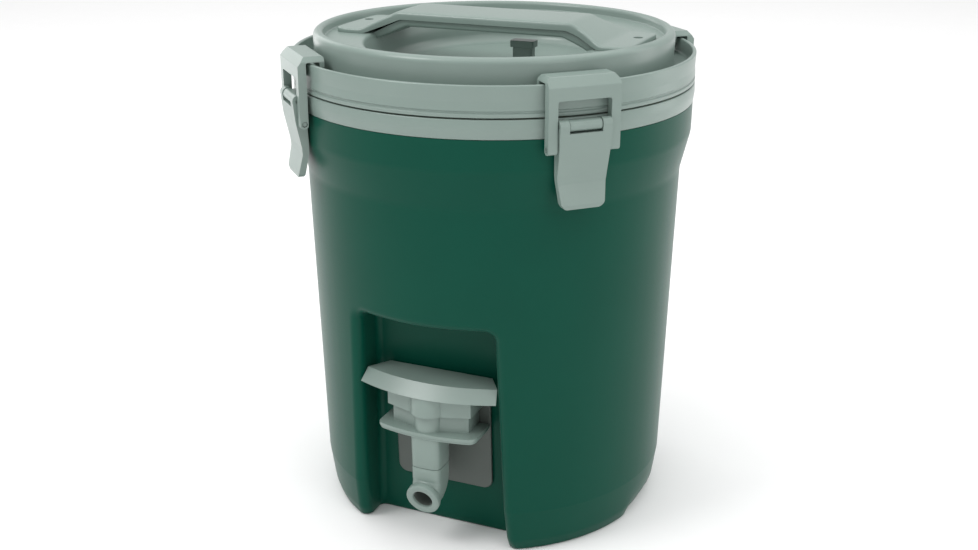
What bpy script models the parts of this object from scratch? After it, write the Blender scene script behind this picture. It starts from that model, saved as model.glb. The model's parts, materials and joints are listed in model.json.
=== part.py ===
"""An insulated one-gallon water jug: foam-filled shell, latched lid with a bridge handle, and a push tap.

Metres, +Z up. The jug stands on z = 0 with its axis on Z, and the tap faces -Y.
Angles round the jug are measured from the tap (-Y) towards +X.
"""

import math

import bmesh
import bpy
from mathutils import Matrix, Vector

MM = 0.001
GAP = 0.3 * MM  # left between pieces that touch
WELD_DISTANCE = 0.005 * MM
NONPLANAR_LIMIT = 0.001  # a face that bends more than this, in radians, is split

ROUND_STEPS = 72  # facets round the large turned pieces
SMALL_STEPS = 24  # facets round pins, tubes and screws
CORNER_STEPS = 4  # facets in a rounded corner

# Shell: an outer radius at each height, from the top down
RIM_Z = 256.0 * MM
RIM_RADIUS = 119.4 * MM
SHOULDER_TOP_Z = 240.0 * MM
SHOULDER_TOP_RADIUS = 119.1 * MM
SHOULDER_FOOT_Z = 217.4 * MM
SHOULDER_FOOT_RADIUS = 113.8 * MM
SKIRT_Z = 28.0 * MM
SKIRT_RADIUS = 108.7 * MM
FOOT_Z = 10.0 * MM
FOOT_RADIUS = 106.0 * MM
BASE_RADIUS = 102.8 * MM
SHELL_WALL = 3.0 * MM

# Alcove for the tap: open at the front and below
ALCOVE_TOP_Z = 145.5 * MM
ALCOVE_HALF_WIDTH = 47.7 * MM  # at the base
ALCOVE_SIDE_DRAFT = 0.031  # how fast the sides close in with height
ALCOVE_BACK_Y = -72.9 * MM  # at the base
ALCOVE_BACK_LEAN = 0.05  # how fast the back comes forward with height
ALCOVE_CORNER = 9.0 * MM
CUTTER_REACH = 30.0 * MM  # how far a cutter runs past the surface that it opens
TRIM = 1.0 * MM  # how far a blank runs past the outline that trims it

# Shallow lifting scoops under the two sides
SCOOP_CENTRE_X = 118.0 * MM
SCOOP_CENTRE_Z = -2.0 * MM
SCOOP_RADII = (18.0 * MM, 30.0 * MM, 14.0 * MM)

# Liner: the food-side cup
LINER_WALL = 2.0 * MM
LINER_FLOOR_Z = 32.0 * MM
LINER_FLOOR_RADIUS = 82.0 * MM
LINER_MOUTH_RADIUS = 86.0 * MM
LINER_FLANGE_Z = RIM_Z + GAP
LINER_FLANGE_RADIUS = 112.0 * MM
LINER_FLAT_Y = -62.0 * MM  # the liner's flat front, behind the alcove
LINER_FLAT_TOP_Z = 162.0 * MM

# Collar: the ring that closes the shell and carries the latches
COLLAR_RADIUS = 119.8 * MM
COLLAR_TOP_Z = 267.5 * MM
COLLAR_WEB_Z = 263.0 * MM
COLLAR_BORE = 88.0 * MM

# Lid
FLANGE_RADIUS = 120.0 * MM
FLANGE_TOP_Z = 285.2 * MM
FLANGE_FOOT_Z = 268.0 * MM
FLANGE_WALL = 2.5 * MM
GUTTER_Z = 276.0 * MM
DRUM_RADIUS = 107.3 * MM
DRUM_TOP_Z = 296.9 * MM
RIM_WIDTH = 6.5 * MM
DECK_Z = 291.5 * MM
LID_WALL = 2.5 * MM
BOWL_HALVES = (70.5 * MM, 91.0 * MM)  # across and along, of a rounded oval
BOWL_POWER = 2.1  # 2 would be an ellipse
BOWL_FLOOR_Z = 272.0 * MM
PLUG_RADIUS = 80.5 * MM
PLUG_FLOOR_Z = 247.0 * MM
LID_LINER_WALL = 2.0 * MM
LID_LINER_FLANGE_Z = COLLAR_WEB_Z + 0.4 * MM
LID_LINER_FLANGE_RADIUS = 111.0 * MM
GASKET_Z = 255.0 * MM
GASKET_HEIGHT = 3.6 * MM
GASKET_RADIUS = 83.5 * MM
GROOVE_DEPTH = 1.6 * MM

# Handle: a bridge across the lid, in a top and an underside shell
HANDLE_TOP_Z = 304.5 * MM
HANDLE_BAR_HALF = 55.0 * MM
HANDLE_FOOT_HALF = 76.0 * MM
HANDLE_END = 93.0 * MM
HANDLE_PAD_Z = 294.2 * MM
HANDLE_SHELL = 3.6 * MM
HANDLE_BAR_WIDTH = 40.0 * MM
HANDLE_PAD_WIDTH = 57.0 * MM
GRIP_WIDTH = 34.0 * MM
GRIP_THICKNESS = 4.0 * MM
SCREW_X = 87.5 * MM
SCREW_Y = 6.0 * MM
SCREW_HEAD_RADIUS = 2.8 * MM
SCREW_HEAD_HEIGHT = 1.6 * MM
SCREW_SHAFT_RADIUS = 1.4 * MM

# Vent plug, in the bowl of the lid
VENT_X = 16.0 * MM
VENT_Y = 8.0 * MM
VENT_TOP_Z = 288.0 * MM
VENT_CAP = (15.0 * MM, 9.0 * MM, 4.0 * MM)
VENT_NECK = (12.5 * MM, 6.5 * MM)
VENT_STEM_RADIUS = 2.5 * MM
VENT_STOP_RADIUS = 4.0 * MM
VENT_TRAVEL = 6.0 * MM
VENT_SEAL_RADIUS = 4.8 * MM
VENT_SEAL_HEIGHT = 1.6 * MM

# Latches: LATCH_ANGLES places each; the rest is in a latch's own frame, where
# "out" is the distance from the jug's axis and "side" is along the collar
LATCH_ANGLES = {
    "front_right": 45.0,
    "back_right": 135.0,
    "back_left": -135.0,
    "front_left": -45.0,
}
LEVER_PIVOT = (124.5 * MM, 264.0 * MM)  # out, z
HOOK_PIVOT = (122.8 * MM, 251.8 * MM)
PIN_RADIUS = 1.3 * MM
PIN_CLEARANCE = 0.25 * MM
BARREL_RADIUS = 3.0 * MM
BARREL_HALF = 9.3 * MM
BRACKET_HALF = 9.0 * MM
BRACKET_ROOT = 116.0 * MM
BRACKET_HEIGHT = 5.0 * MM
EAR_RADIUS = 3.4 * MM
LEVER_HALF = 15.0 * MM
LEVER_TIP_HALF = 12.4 * MM
LEVER_TIP_Z = 219.0 * MM
LEVER_TIP_CORNER = 4.0 * MM
LEVER_SLOT_Z = 260.4 * MM
LEVER_PLATE = 2.3 * MM
LEVER_CHEEK = 2.8 * MM
HOOK_HALF = 20.8 * MM
HOOK_ARM_INNER = 15.5 * MM
HOOK_FACE = 125.4 * MM
HOOK_BACK = 120.6 * MM
HOOK_UNDERSIDE_Z = 286.2 * MM
HOOK_TOP_Z = 289.5 * MM
HOOK_WINDOW_Z = 277.3 * MM
HOOK_LIP_OUT = 112.8 * MM
HOOK_LIP_IN = 110.0 * MM
HOOK_LIP_Z = 283.2 * MM
HOOK_CHAMFER = 3.8 * MM
HOOK_SIDE_CHAMFER = 3.0 * MM
HOOK_END_RADIUS = 2.5 * MM

# Tap
TAP_Y = -97.5 * MM  # the tap's upright axis
TAP_BACK_Y = -80.5 * MM  # where the tap meets its plate
PLATE_HALF_WIDTH = 31.5 * MM
PLATE_FOOT_Z = 30.0 * MM
PLATE_TOP_Z = 100.0 * MM
PLATE_THICKNESS = 2.0 * MM
PLATE_CORNER = 6.0 * MM
SHELF_TOP_Z = 75.8 * MM
SHELF_THICKNESS = 3.5 * MM
SHELF_HALF_WIDTH = 31.5 * MM
SHELF_FRONT_Y = -107.6 * MM
SHELF_CORNER_Y = -103.5 * MM
SHELF_CORNER = 6.0 * MM
BLOCK_HALF_WIDTH = 24.5 * MM
BLOCK_CORNER_Y = -95.6 * MM
BLOCK_NOSE_Y = -100.5 * MM
BLOCK_TOP_Z = 94.0 * MM
BLOCK_NOSE_RADIUS = 8.8 * MM
SKIRT_CLEARANCE = 0.8 * MM
SKIRT_WALL = 1.5 * MM
SKIRT_FOOT_Z = 86.5 * MM
TUBE_HALF_WIDTH = 9.4 * MM
TUBE_CORNER = 5.0 * MM
TUBE_Y = -96.5 * MM
TUBE_SEAM_Z = 52.0 * MM
CHAMBER_RADIUS = 6.8 * MM
CHAMBER_FLOOR_Z = 70.0 * MM
SEAT_RADIUS = 4.4 * MM
SEAT_Z = 66.0 * MM
OUTLET_RADIUS = 7.2 * MM
SHANK_Z = 80.0 * MM
SHANK_RADIUS = 9.0 * MM
SHANK_BORE = 4.5 * MM
SHANK_END_Y = -51.5 * MM
HOLE_RADIUS = SHANK_RADIUS + GAP
NUT_RADIUS = 15.0 * MM
NUT_THICKNESS = 4.5 * MM
WASHER_RADIUS = 14.0 * MM
WASHER_THICKNESS = 2.2 * MM

# Tap's moving parts
PADDLE_TOP_Z = 106.0 * MM
PADDLE_LIP_Z = 99.0 * MM
PADDLE_BACK_Y = -80.6 * MM
PADDLE_BACK_HALF = 33.4 * MM
PADDLE_TOP_CORNER = (41.6 * MM, -93.6 * MM)
PADDLE_TOP_NOSE_Y = -101.9 * MM
PADDLE_LIP_CORNER = (43.4 * MM, -99.8 * MM)
PADDLE_LIP_NOSE_Y = -109.4 * MM
PADDLE_SHELL = 3.2 * MM
STEM_RADIUS = 2.0 * MM
STEM_TOP_Z = PADDLE_TOP_Z - PADDLE_SHELL - GAP
SEAL_RADIUS = 5.8 * MM
SEAL_THICKNESS = 2.0 * MM
BONNET_Z = 86.0 * MM
BONNET_THICKNESS = 3.0 * MM
SPRING_RADIUS = 4.2 * MM
SPRING_WIRE = 0.45 * MM
SPRING_TURNS = 4
SPRING_STEPS = 10

# Nozzle: a tube that turns from straight down to forward, its outlet dipping a little
NOZZLE_END = (-109.0 * MM, 32.7 * MM)  # y, z of the outlet's centre
NOZZLE_TILT = math.radians(74.0)  # from straight down
NOZZLE_ELBOW_Z = NOZZLE_END[1] + (TUBE_Y - NOZZLE_END[0]) / math.tan(NOZZLE_TILT)
NOZZLE_BEND = 10.4 * MM
NOZZLE_RADIUS = 9.4 * MM
NOZZLE_RIM_RADIUS = 10.5 * MM
NOZZLE_RIM_LENGTH = 4.2 * MM
NOZZLE_BORE = 6.2 * MM

GREEN = ("bottle_green", (0.014, 0.085, 0.055), 0.5)
GREY = ("sage_grey", (0.23, 0.27, 0.24), 0.48)
DARK_GREY = ("dark_sage", (0.15, 0.18, 0.16), 0.5)
LINER_WHITE = ("liner_white", (0.72, 0.73, 0.7), 0.4)
FOAM = ("insulation_foam", (0.75, 0.68, 0.45), 0.9)
STEEL = ("stainless_steel", (0.55, 0.56, 0.57), 0.3)
RUBBER = ("seal_rubber", (0.05, 0.05, 0.05), 0.7)


# ---------------------------------------------------------------- scene and materials


def clear_scene():
    for old in list(bpy.data.objects):
        bpy.data.objects.remove(old, do_unlink=True)


def new_collection(name, shown):
    collection = bpy.data.collections.new(name)
    collection.hide_render = not shown
    bpy.context.scene.collection.children.link(collection)
    return collection


def material(finish):
    name, colour, roughness = finish
    found = bpy.data.materials.get(name)
    if found:
        return found
    made = bpy.data.materials.new(name)
    made.use_nodes = True
    shader = made.node_tree.nodes["Principled BSDF"]
    shader.inputs["Base Color"].default_value = (*colour, 1.0)
    shader.inputs["Roughness"].default_value = roughness
    shader.inputs["Metallic"].default_value = 1.0 if finish is STEEL else 0.0
    return made


def add_object(name, mesh, finish=None):
    """A visible piece when it has a finish, and otherwise a cutter."""
    made = bpy.data.objects.new(name, mesh)
    if finish:
        pieces.objects.link(made)
        mesh.materials.append(material(finish))
    else:
        cutters.objects.link(made)
        made.hide_render = True
        made.display_type = "WIRE"
    return made


def mesh_from(name, bm):
    bmesh.ops.recalc_face_normals(bm, faces=bm.faces)
    mesh = bpy.data.meshes.new(name)
    bm.to_mesh(mesh)
    bm.free()
    return mesh


# ---------------------------------------------------------------- shapes


def turned(name, profile, finish=None, steps=ROUND_STEPS):
    """A profile of (radius, z) turned about Z: it runs down its outer side from top to bottom."""
    closed = profile[0][0] > 0
    bm = bmesh.new()
    points = [bm.verts.new((radius, 0, z)) for radius, z in profile]
    for start, end in zip(points, points[1:]):
        bm.edges.new((start, end))
    if closed:
        bm.edges.new((points[-1], points[0]))
    mesh = bpy.data.meshes.new(name)
    bm.to_mesh(mesh)
    bm.free()
    made = add_object(name, mesh, finish)
    screw = made.modifiers.new("Turn", "SCREW")
    screw.steps = steps
    screw.render_steps = steps
    screw.use_merge_vertices = True
    screw.merge_threshold = 0.00001
    screw.use_smooth_shade = False
    return made


def cylinder(name, radius, start, end, finish=None, steps=SMALL_STEPS):
    """A round bar from start to end."""
    start, end = Vector(start), Vector(end)
    bm = bmesh.new()
    bmesh.ops.create_cone(
        bm,
        cap_ends=True,
        segments=steps,
        radius1=radius,
        radius2=radius,
        depth=(end - start).length,
    )
    turn = (end - start).to_track_quat("Z", "Y").to_matrix().to_4x4()
    bmesh.ops.transform(bm, matrix=Matrix.Translation((start + end) / 2) @ turn, verts=bm.verts)
    return add_object(name, mesh_from(name, bm), finish)


def ring(name, inner, outer, start, end, finish=None, steps=SMALL_STEPS, outer_steps=None):
    """A round tube from start to end; outer_steps of 6 makes it a hexagonal nut."""
    made = cylinder(name, outer, start, end, finish, outer_steps or steps)
    reach = (Vector(end) - Vector(start)).normalized() * MM
    cut(made, cylinder(name + "_bore", inner, Vector(start) - reach, Vector(end) + reach, None, steps))
    return made


def box(name, low, high, finish=None):
    low, high = Vector(low), Vector(high)
    bm = bmesh.new()
    bmesh.ops.create_cube(bm, size=1.0)
    size = Matrix.Diagonal((*(high - low), 1.0))
    bmesh.ops.transform(bm, matrix=Matrix.Translation((low + high) / 2) @ size, verts=bm.verts)
    return add_object(name, mesh_from(name, bm), finish)


def loft(name, rings, finish=None):
    """A closed solid through rings of points that all have the same count."""
    bm = bmesh.new()
    made_rings = [[bm.verts.new(point) for point in points] for points in rings]
    count = len(rings[0])
    for lower, upper in zip(made_rings, made_rings[1:]):
        for i in range(count):
            j = (i + 1) % count
            bm.faces.new((lower[i], lower[j], upper[j], upper[i]))
    bmesh.ops.connect_verts_nonplanar(bm, angle_limit=NONPLANAR_LIMIT, faces=bm.faces)
    bm.faces.new(made_rings[0])
    bm.faces.new(made_rings[-1])
    return add_object(name, mesh_from(name, bm), finish)


def extruded(name, outline, low, high, axis, finish=None):
    """An outline drawn across one axis ("X", "Y" or "Z") and extruded along it from low to high."""
    place = {
        "X": lambda a, b, c: (c, a, b),
        "Y": lambda a, b, c: (a, c, b),
        "Z": lambda a, b, c: (a, b, c),
    }[axis]
    return loft(name, [[place(a, b, c) for a, b in outline] for c in (low, high)], finish)


def arc(centre, radius, start, end, steps=CORNER_STEPS):
    """Points on an arc, its angles in degrees."""
    turn = [math.radians(start + (end - start) * i / steps) for i in range(steps + 1)]
    return [(centre[0] + radius * math.cos(a), centre[1] + radius * math.sin(a)) for a in turn]


def rounded(points, radii, steps=CORNER_STEPS):
    """The outline with each corner of a radius above nought replaced by a curve that touches both its sides."""
    made = []
    for i, point in enumerate(points):
        corner = Vector(point)
        before = (Vector(points[i - 1]) - corner).normalized()
        after = (Vector(points[(i + 1) % len(points)]) - corner).normalized()
        if not radii[i]:
            made.append(tuple(corner))
            continue
        reach = radii[i] / math.tan(before.angle(after) / 2)
        first, last = corner + before * reach, corner + after * reach
        for step in range(steps + 1):
            t = step / steps
            made.append(tuple(first * (1 - t) ** 2 + corner * 2 * t * (1 - t) + last * t * t))
    return made


def cut(piece, cutter, operation="DIFFERENCE"):
    boolean = piece.modifiers.new(operation.title(), "BOOLEAN")
    boolean.operation = operation
    boolean.solver = "EXACT"
    boolean.object = cutter


def weld_seams(collection):
    """Joins the points that the cuts leave on top of each other."""
    for piece in collection.objects:
        if piece.type == "MESH":
            weld = piece.modifiers.new("Weld", "WELD")
            weld.merge_threshold = WELD_DISTANCE


def bevel(piece, width, segments=CORNER_STEPS, angle=30.0):
    made = piece.modifiers.new("Bevel", "BEVEL")
    made.width = width
    made.segments = segments
    made.limit_method = "ANGLE"
    made.angle_limit = math.radians(angle)


# ---------------------------------------------------------------- shell, foam and liner


def alcove_half_width(z):
    return ALCOVE_HALF_WIDTH - ALCOVE_SIDE_DRAFT * z


def alcove_back(z):
    return ALCOVE_BACK_Y - ALCOVE_BACK_LEAN * z


def alcove_block(name, grow):
    """The alcove's space, grown by a wall's thickness."""
    front = -FLANGE_RADIUS - CUTTER_REACH
    rings = []
    for z in (-CUTTER_REACH, ALCOVE_TOP_Z + grow):
        half = alcove_half_width(z) + grow
        back = alcove_back(z) + grow
        rings.append([(-half, front, z), (half, front, z), (half, back, z), (-half, back, z)])
    made = loft(name, rings)
    bevel(made, ALCOVE_CORNER + grow)
    return made


def shell_profile(inset=0.0):
    """The shell's outer side from its rim to its base, moved in by inset."""
    side = [
        (RIM_RADIUS, RIM_Z),
        (SHOULDER_TOP_RADIUS, SHOULDER_TOP_Z),
        (SHOULDER_FOOT_RADIUS, SHOULDER_FOOT_Z),
        (SKIRT_RADIUS, SKIRT_Z),
        (FOOT_RADIUS, FOOT_Z),
        (BASE_RADIUS, 2 * MM),
    ]
    return [(radius - inset, z) for radius, z in side]


def make_outer_shell():
    side = shell_profile()
    profile = [(0, RIM_Z)] + side + [(BASE_RADIUS - 2 * MM, 0), (0, 0)]
    shell = turned("outer_shell", profile, GREEN)
    cut(shell, alcove_block("alcove_space", 0.0))
    inside = shell_profile(SHELL_WALL)[:-1]
    floor = [(BASE_RADIUS - SHELL_WALL - 2 * MM, SHELL_WALL), (0, SHELL_WALL)]
    over_rim = [(0, RIM_Z + CUTTER_REACH), (inside[0][0], RIM_Z + CUTTER_REACH)]
    hollow = turned("shell_hollow", over_rim + inside + floor)
    cut(hollow, alcove_block("alcove_walls", SHELL_WALL))
    cut(shell, hollow)
    for side_sign, side_name in ((-1, "left"), (1, "right")):
        cut(shell, lifting_scoop(side_name, side_sign))
    cut(shell, tap_hole("shell_tap_hole"))
    return shell


def lifting_scoop(side_name, side_sign):
    bm = bmesh.new()
    bmesh.ops.create_uvsphere(bm, u_segments=SMALL_STEPS, v_segments=12, radius=1.0)
    bmesh.ops.scale(bm, vec=SCOOP_RADII, verts=bm.verts)
    bmesh.ops.translate(bm, vec=(side_sign * SCOOP_CENTRE_X, 0, SCOOP_CENTRE_Z), verts=bm.verts)
    return add_object("scoop_" + side_name, mesh_from("scoop_" + side_name, bm))


def tap_hole(name):
    start = (0, alcove_back(SHANK_Z) - CUTTER_REACH / 2, SHANK_Z)
    return cylinder(name, HOLE_RADIUS, start, (0, SHANK_END_Y, SHANK_Z))


def liner_radius(z):
    share = (z - LINER_FLOOR_Z) / (LINER_FLANGE_Z - LINER_FLOOR_Z)
    return LINER_FLOOR_RADIUS + (LINER_MOUTH_RADIUS - LINER_FLOOR_RADIUS) * share


def liner_envelope(name, grow, top, finish=None):
    """The liner's outer form, solid, grown by a clearance."""
    profile = [
        (0, top),
        (liner_radius(top) + grow, top),
        (liner_radius(LINER_FLOOR_Z - grow) + grow, LINER_FLOOR_Z - grow),
        (0, LINER_FLOOR_Z - grow),
    ]
    made = turned(name, profile, finish)
    far = FLANGE_RADIUS + CUTTER_REACH
    flat = box(name + "_flat", (-far, -far, 0), (far, LINER_FLAT_Y - grow, LINER_FLAT_TOP_Z - grow))
    cut(made, flat)
    return made


def make_liner():
    liner = liner_envelope("inner_liner", 0.0, LINER_FLANGE_Z + LINER_WALL, LINER_WHITE)
    flange = turned(
        "liner_flange",
        [
            (LINER_FLANGE_RADIUS, LINER_FLANGE_Z + LINER_WALL),
            (LINER_FLANGE_RADIUS, LINER_FLANGE_Z),
            (LINER_MOUTH_RADIUS - LINER_WALL, LINER_FLANGE_Z),
            (LINER_MOUTH_RADIUS - LINER_WALL, LINER_FLANGE_Z + LINER_WALL),
        ],
    )
    cut(liner, flange, "UNION")
    cut(liner, liner_envelope("liner_hollow", -LINER_WALL, RIM_Z + CUTTER_REACH))
    cut(liner, tap_hole("liner_tap_hole"))
    return liner


def make_body_foam():
    side = shell_profile(SHELL_WALL + GAP)[:-1]
    floor_radius = BASE_RADIUS - SHELL_WALL - 2 * MM - GAP
    top = RIM_Z - GAP
    profile = [(0, top), (side[0][0], top)] + side[1:]
    profile += [(floor_radius, SHELL_WALL + GAP), (0, SHELL_WALL + GAP)]
    foam = turned("body_foam", profile, FOAM)
    cut(foam, alcove_block("foam_alcove", SHELL_WALL + GAP))
    cut(foam, liner_envelope("foam_hollow", GAP, RIM_Z + CUTTER_REACH))
    cut(foam, tap_hole("foam_tap_hole"))
    return foam


# ---------------------------------------------------------------- collar and latches


def latch_frame(angle):
    """Turns a latch's own frame, in which it faces -Y, to its place round the collar."""
    return Matrix.Rotation(math.radians(angle), 4, "Z")


def placed(piece, angle, pivot=None):
    """Stands a latch piece at its angle, with its origin on its pivot (out, z) where it has one."""
    spot = Vector((0, -pivot[0], pivot[1])) if pivot else Vector()
    piece.data.transform(Matrix.Translation(-spot))
    turn = latch_frame(angle)
    piece.matrix_world = turn @ Matrix.Translation(spot)
    return piece


def blank(half):
    return -half - TRIM, half + TRIM


def side_view(points):
    """Points of (out, z) as (y, z), for a latch that faces -Y."""
    return [(-out, z) for out, z in points]


def make_collar():
    flange_seat = LINER_FLANGE_Z + LINER_WALL + GAP
    collar = turned(
        "collar",
        [
            (COLLAR_RADIUS - 0.6 * MM, COLLAR_TOP_Z),
            (COLLAR_RADIUS, COLLAR_TOP_Z - 0.6 * MM),
            (COLLAR_RADIUS, LINER_FLANGE_Z),
            (LINER_FLANGE_RADIUS + GAP, LINER_FLANGE_Z),
            (LINER_FLANGE_RADIUS + GAP, flange_seat),
            (COLLAR_BORE, flange_seat),
            (COLLAR_BORE, COLLAR_WEB_Z),
            (LINER_FLANGE_RADIUS, COLLAR_WEB_Z),
            (LINER_FLANGE_RADIUS, COLLAR_TOP_Z),
        ],
        GREY,
    )
    for name, angle in LATCH_ANGLES.items():
        bracket = extruded("bracket_" + name, side_view(bracket_outline()), -BRACKET_HALF, BRACKET_HALF, "X")
        cut(collar, placed(bracket, angle), "UNION")
        bore = cross_bar("bracket_bore_" + name, PIN_RADIUS + PIN_CLEARANCE, LEVER_PIVOT, LEVER_HALF)
        cut(collar, placed(bore, angle))
    return collar


def bracket_outline():
    """The lug that holds the lever's pin: a barrel on a web that grows out of the collar."""
    out, z = LEVER_PIVOT
    foot = z - BRACKET_HEIGHT / 2
    top = z + BRACKET_HEIGHT / 2
    nose = arc(LEVER_PIVOT, BARREL_RADIUS, -125, 125, 10)
    return [(BRACKET_ROOT, foot)] + nose + [(BRACKET_ROOT, top)]


def cross_bar(name, radius, pivot, half, finish=None):
    """A round bar along a latch's side direction through a pivot."""
    out, z = pivot
    return cylinder(name, radius, (-half, -out, z), (half, -out, z), finish, 16)


def lever_face():
    """The lever's outer face in side view, from its ear to its tip."""
    return [
        (127.7 * MM, 262.0 * MM),
        (126.6 * MM, 252.0 * MM),
        (123.6 * MM, 235.5 * MM),
        (123.7 * MM, 231.5 * MM),
        (125.3 * MM, 221.0 * MM),
        (124.9 * MM, LEVER_TIP_Z),
    ]


def lever_outline():
    back = [
        (122.6 * MM, LEVER_TIP_Z),
        (121.9 * MM, 220.0 * MM),
        (119.5 * MM, 234.0 * MM),
        (119.5 * MM, 238.5 * MM),
        (120.2 * MM, 254.0 * MM),
        (121.5 * MM, 258.5 * MM),
    ]
    ear = arc(LEVER_PIVOT, EAR_RADIUS, 190, -10, 10)
    return ear + lever_face() + back


def make_lever(name, angle):
    lever = extruded("latch_lever_" + name, side_view(lever_outline()), *blank(LEVER_HALF), "X", GREY)
    over_ear = LEVER_PIVOT[1] + 2 * EAR_RADIUS
    front = rounded(
        [
            (-LEVER_HALF, over_ear),
            (LEVER_HALF, over_ear),
            (LEVER_HALF, LEVER_SLOT_Z),
            (LEVER_HALF - 0.6 * MM, 236 * MM),
            (LEVER_TIP_HALF, LEVER_TIP_Z),
            (-LEVER_TIP_HALF, LEVER_TIP_Z),
            (-LEVER_HALF + 0.6 * MM, 236 * MM),
            (-LEVER_HALF, LEVER_SLOT_Z),
        ],
        [0, 0, 0, 0, LEVER_TIP_CORNER, LEVER_TIP_CORNER, 0, 0],
    )
    near, far = -FLANGE_RADIUS - CUTTER_REACH, -FLANGE_RADIUS + CUTTER_REACH
    cut(lever, extruded("lever_front_" + name, front, near, far, "Y"), "INTERSECT")
    slot_half = BARREL_HALF + GAP
    cut(lever, box("lever_slot_" + name, (-slot_half, near, LEVER_SLOT_Z), (slot_half, far, over_ear)))
    pocket = [(out - LEVER_PLATE, z) for out, z in lever_face()[1:4]]
    pocket_top = (pocket[0][0] + 0.4 * MM, LEVER_SLOT_Z - LEVER_PLATE)
    pocket_foot = (pocket[-1][0] + 0.7 * MM, 226 * MM)
    inner = 110 * MM
    pocket = [(inner, pocket_top[1]), pocket_top] + pocket + [pocket_foot, (inner, pocket_foot[1])]
    half = LEVER_HALF - LEVER_CHEEK
    cut(lever, extruded("lever_pocket_" + name, side_view(pocket), -half, half, "X"))
    bore = PIN_RADIUS + PIN_CLEARANCE
    for pivot_name, pivot in (("ear", LEVER_PIVOT), ("hook", HOOK_PIVOT)):
        cut(lever, cross_bar(f"lever_{pivot_name}_bore_{name}", bore, pivot, HOOK_HALF))
    place_with_cutters(lever, angle, LEVER_PIVOT)
    return lever


def place_with_cutters(piece, angle, pivot):
    """Places a latch piece, and every cutter that its modifiers use, at the same angle."""
    for modifier in piece.modifiers:
        if modifier.type == "BOOLEAN":
            placed(modifier.object, angle)
    placed(piece, angle, pivot)


def hook_outline():
    out, z = HOOK_PIVOT
    foot_z = z - HOOK_END_RADIUS - 0.4 * MM
    corners = [
        (HOOK_FACE, foot_z),
        (HOOK_BACK, foot_z),
        (HOOK_BACK, HOOK_UNDERSIDE_Z),
        (HOOK_LIP_OUT, HOOK_UNDERSIDE_Z),
        (HOOK_LIP_OUT, HOOK_LIP_Z),
        (HOOK_LIP_IN, HOOK_LIP_Z),
        (HOOK_LIP_IN, HOOK_TOP_Z),
        (HOOK_FACE - HOOK_CHAMFER, HOOK_TOP_Z),
        (HOOK_FACE, HOOK_TOP_Z - 1.3 * HOOK_CHAMFER),
    ]
    radii = [2.2 * MM, 2.2 * MM, 1.0 * MM, 0.8 * MM, 0.6 * MM, 0.6 * MM, 1.2 * MM, 0.8 * MM, 0.8 * MM]
    return rounded(corners, radii, 3)


def make_hook(name, angle):
    hook = extruded("latch_hook_" + name, side_view(hook_outline()), *blank(HOOK_HALF), "X", GREY)
    foot = HOOK_PIVOT[1] - CUTTER_REACH
    front = [
        (-HOOK_HALF, foot),
        (HOOK_HALF, foot),
        (HOOK_HALF, HOOK_TOP_Z - HOOK_SIDE_CHAMFER),
        (HOOK_HALF - HOOK_SIDE_CHAMFER, HOOK_TOP_Z + MM),
        (-HOOK_HALF + HOOK_SIDE_CHAMFER, HOOK_TOP_Z + MM),
        (-HOOK_HALF, HOOK_TOP_Z - HOOK_SIDE_CHAMFER),
    ]
    near, far = -FLANGE_RADIUS - CUTTER_REACH, -FLANGE_RADIUS + CUTTER_REACH
    cut(hook, extruded("hook_front_" + name, front, near, far, "Y"), "INTERSECT")
    window = rounded(
        [
            (-HOOK_ARM_INNER, foot),
            (HOOK_ARM_INNER, foot),
            (HOOK_ARM_INNER, HOOK_WINDOW_Z),
            (-HOOK_ARM_INNER, HOOK_WINDOW_Z),
        ],
        [0, 0, 1.2 * MM, 1.2 * MM],
        2,
    )
    cut(hook, extruded("hook_window_" + name, window, near, far, "Y"))
    bore = PIN_RADIUS + PIN_CLEARANCE
    cut(hook, cross_bar("hook_bore_" + name, bore, HOOK_PIVOT, HOOK_HALF + MM))
    place_with_cutters(hook, angle, HOOK_PIVOT)
    return hook


def make_latch(name, angle):
    make_lever(name, angle)
    make_hook(name, angle)
    lever_pin = cross_bar("latch_lever_pin_" + name, PIN_RADIUS, LEVER_PIVOT, LEVER_HALF - 0.5 * MM, GREY)
    placed(lever_pin, angle, LEVER_PIVOT)
    hook_pin = cross_bar("latch_hook_pin_" + name, PIN_RADIUS, HOOK_PIVOT, HOOK_HALF - 0.7 * MM, GREY)
    placed(hook_pin, angle, HOOK_PIVOT)


# ---------------------------------------------------------------- lid and handle


def bowl_block(name, grow):
    """The bowl's space under the handle, grown by a wall's thickness."""
    a, b = BOWL_HALVES[0] + grow, BOWL_HALVES[1] + grow
    outline = []
    for i in range(ROUND_STEPS):
        turn = 2 * math.pi * i / ROUND_STEPS
        c, s = math.cos(turn), math.sin(turn)
        radius = ((abs(c) / a) ** BOWL_POWER + (abs(s) / b) ** BOWL_POWER) ** (-1 / BOWL_POWER)
        outline.append((radius * c, radius * s))
    return extruded(name, outline, BOWL_FLOOR_Z - grow, DRUM_TOP_Z + CUTTER_REACH, "Z")


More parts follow.
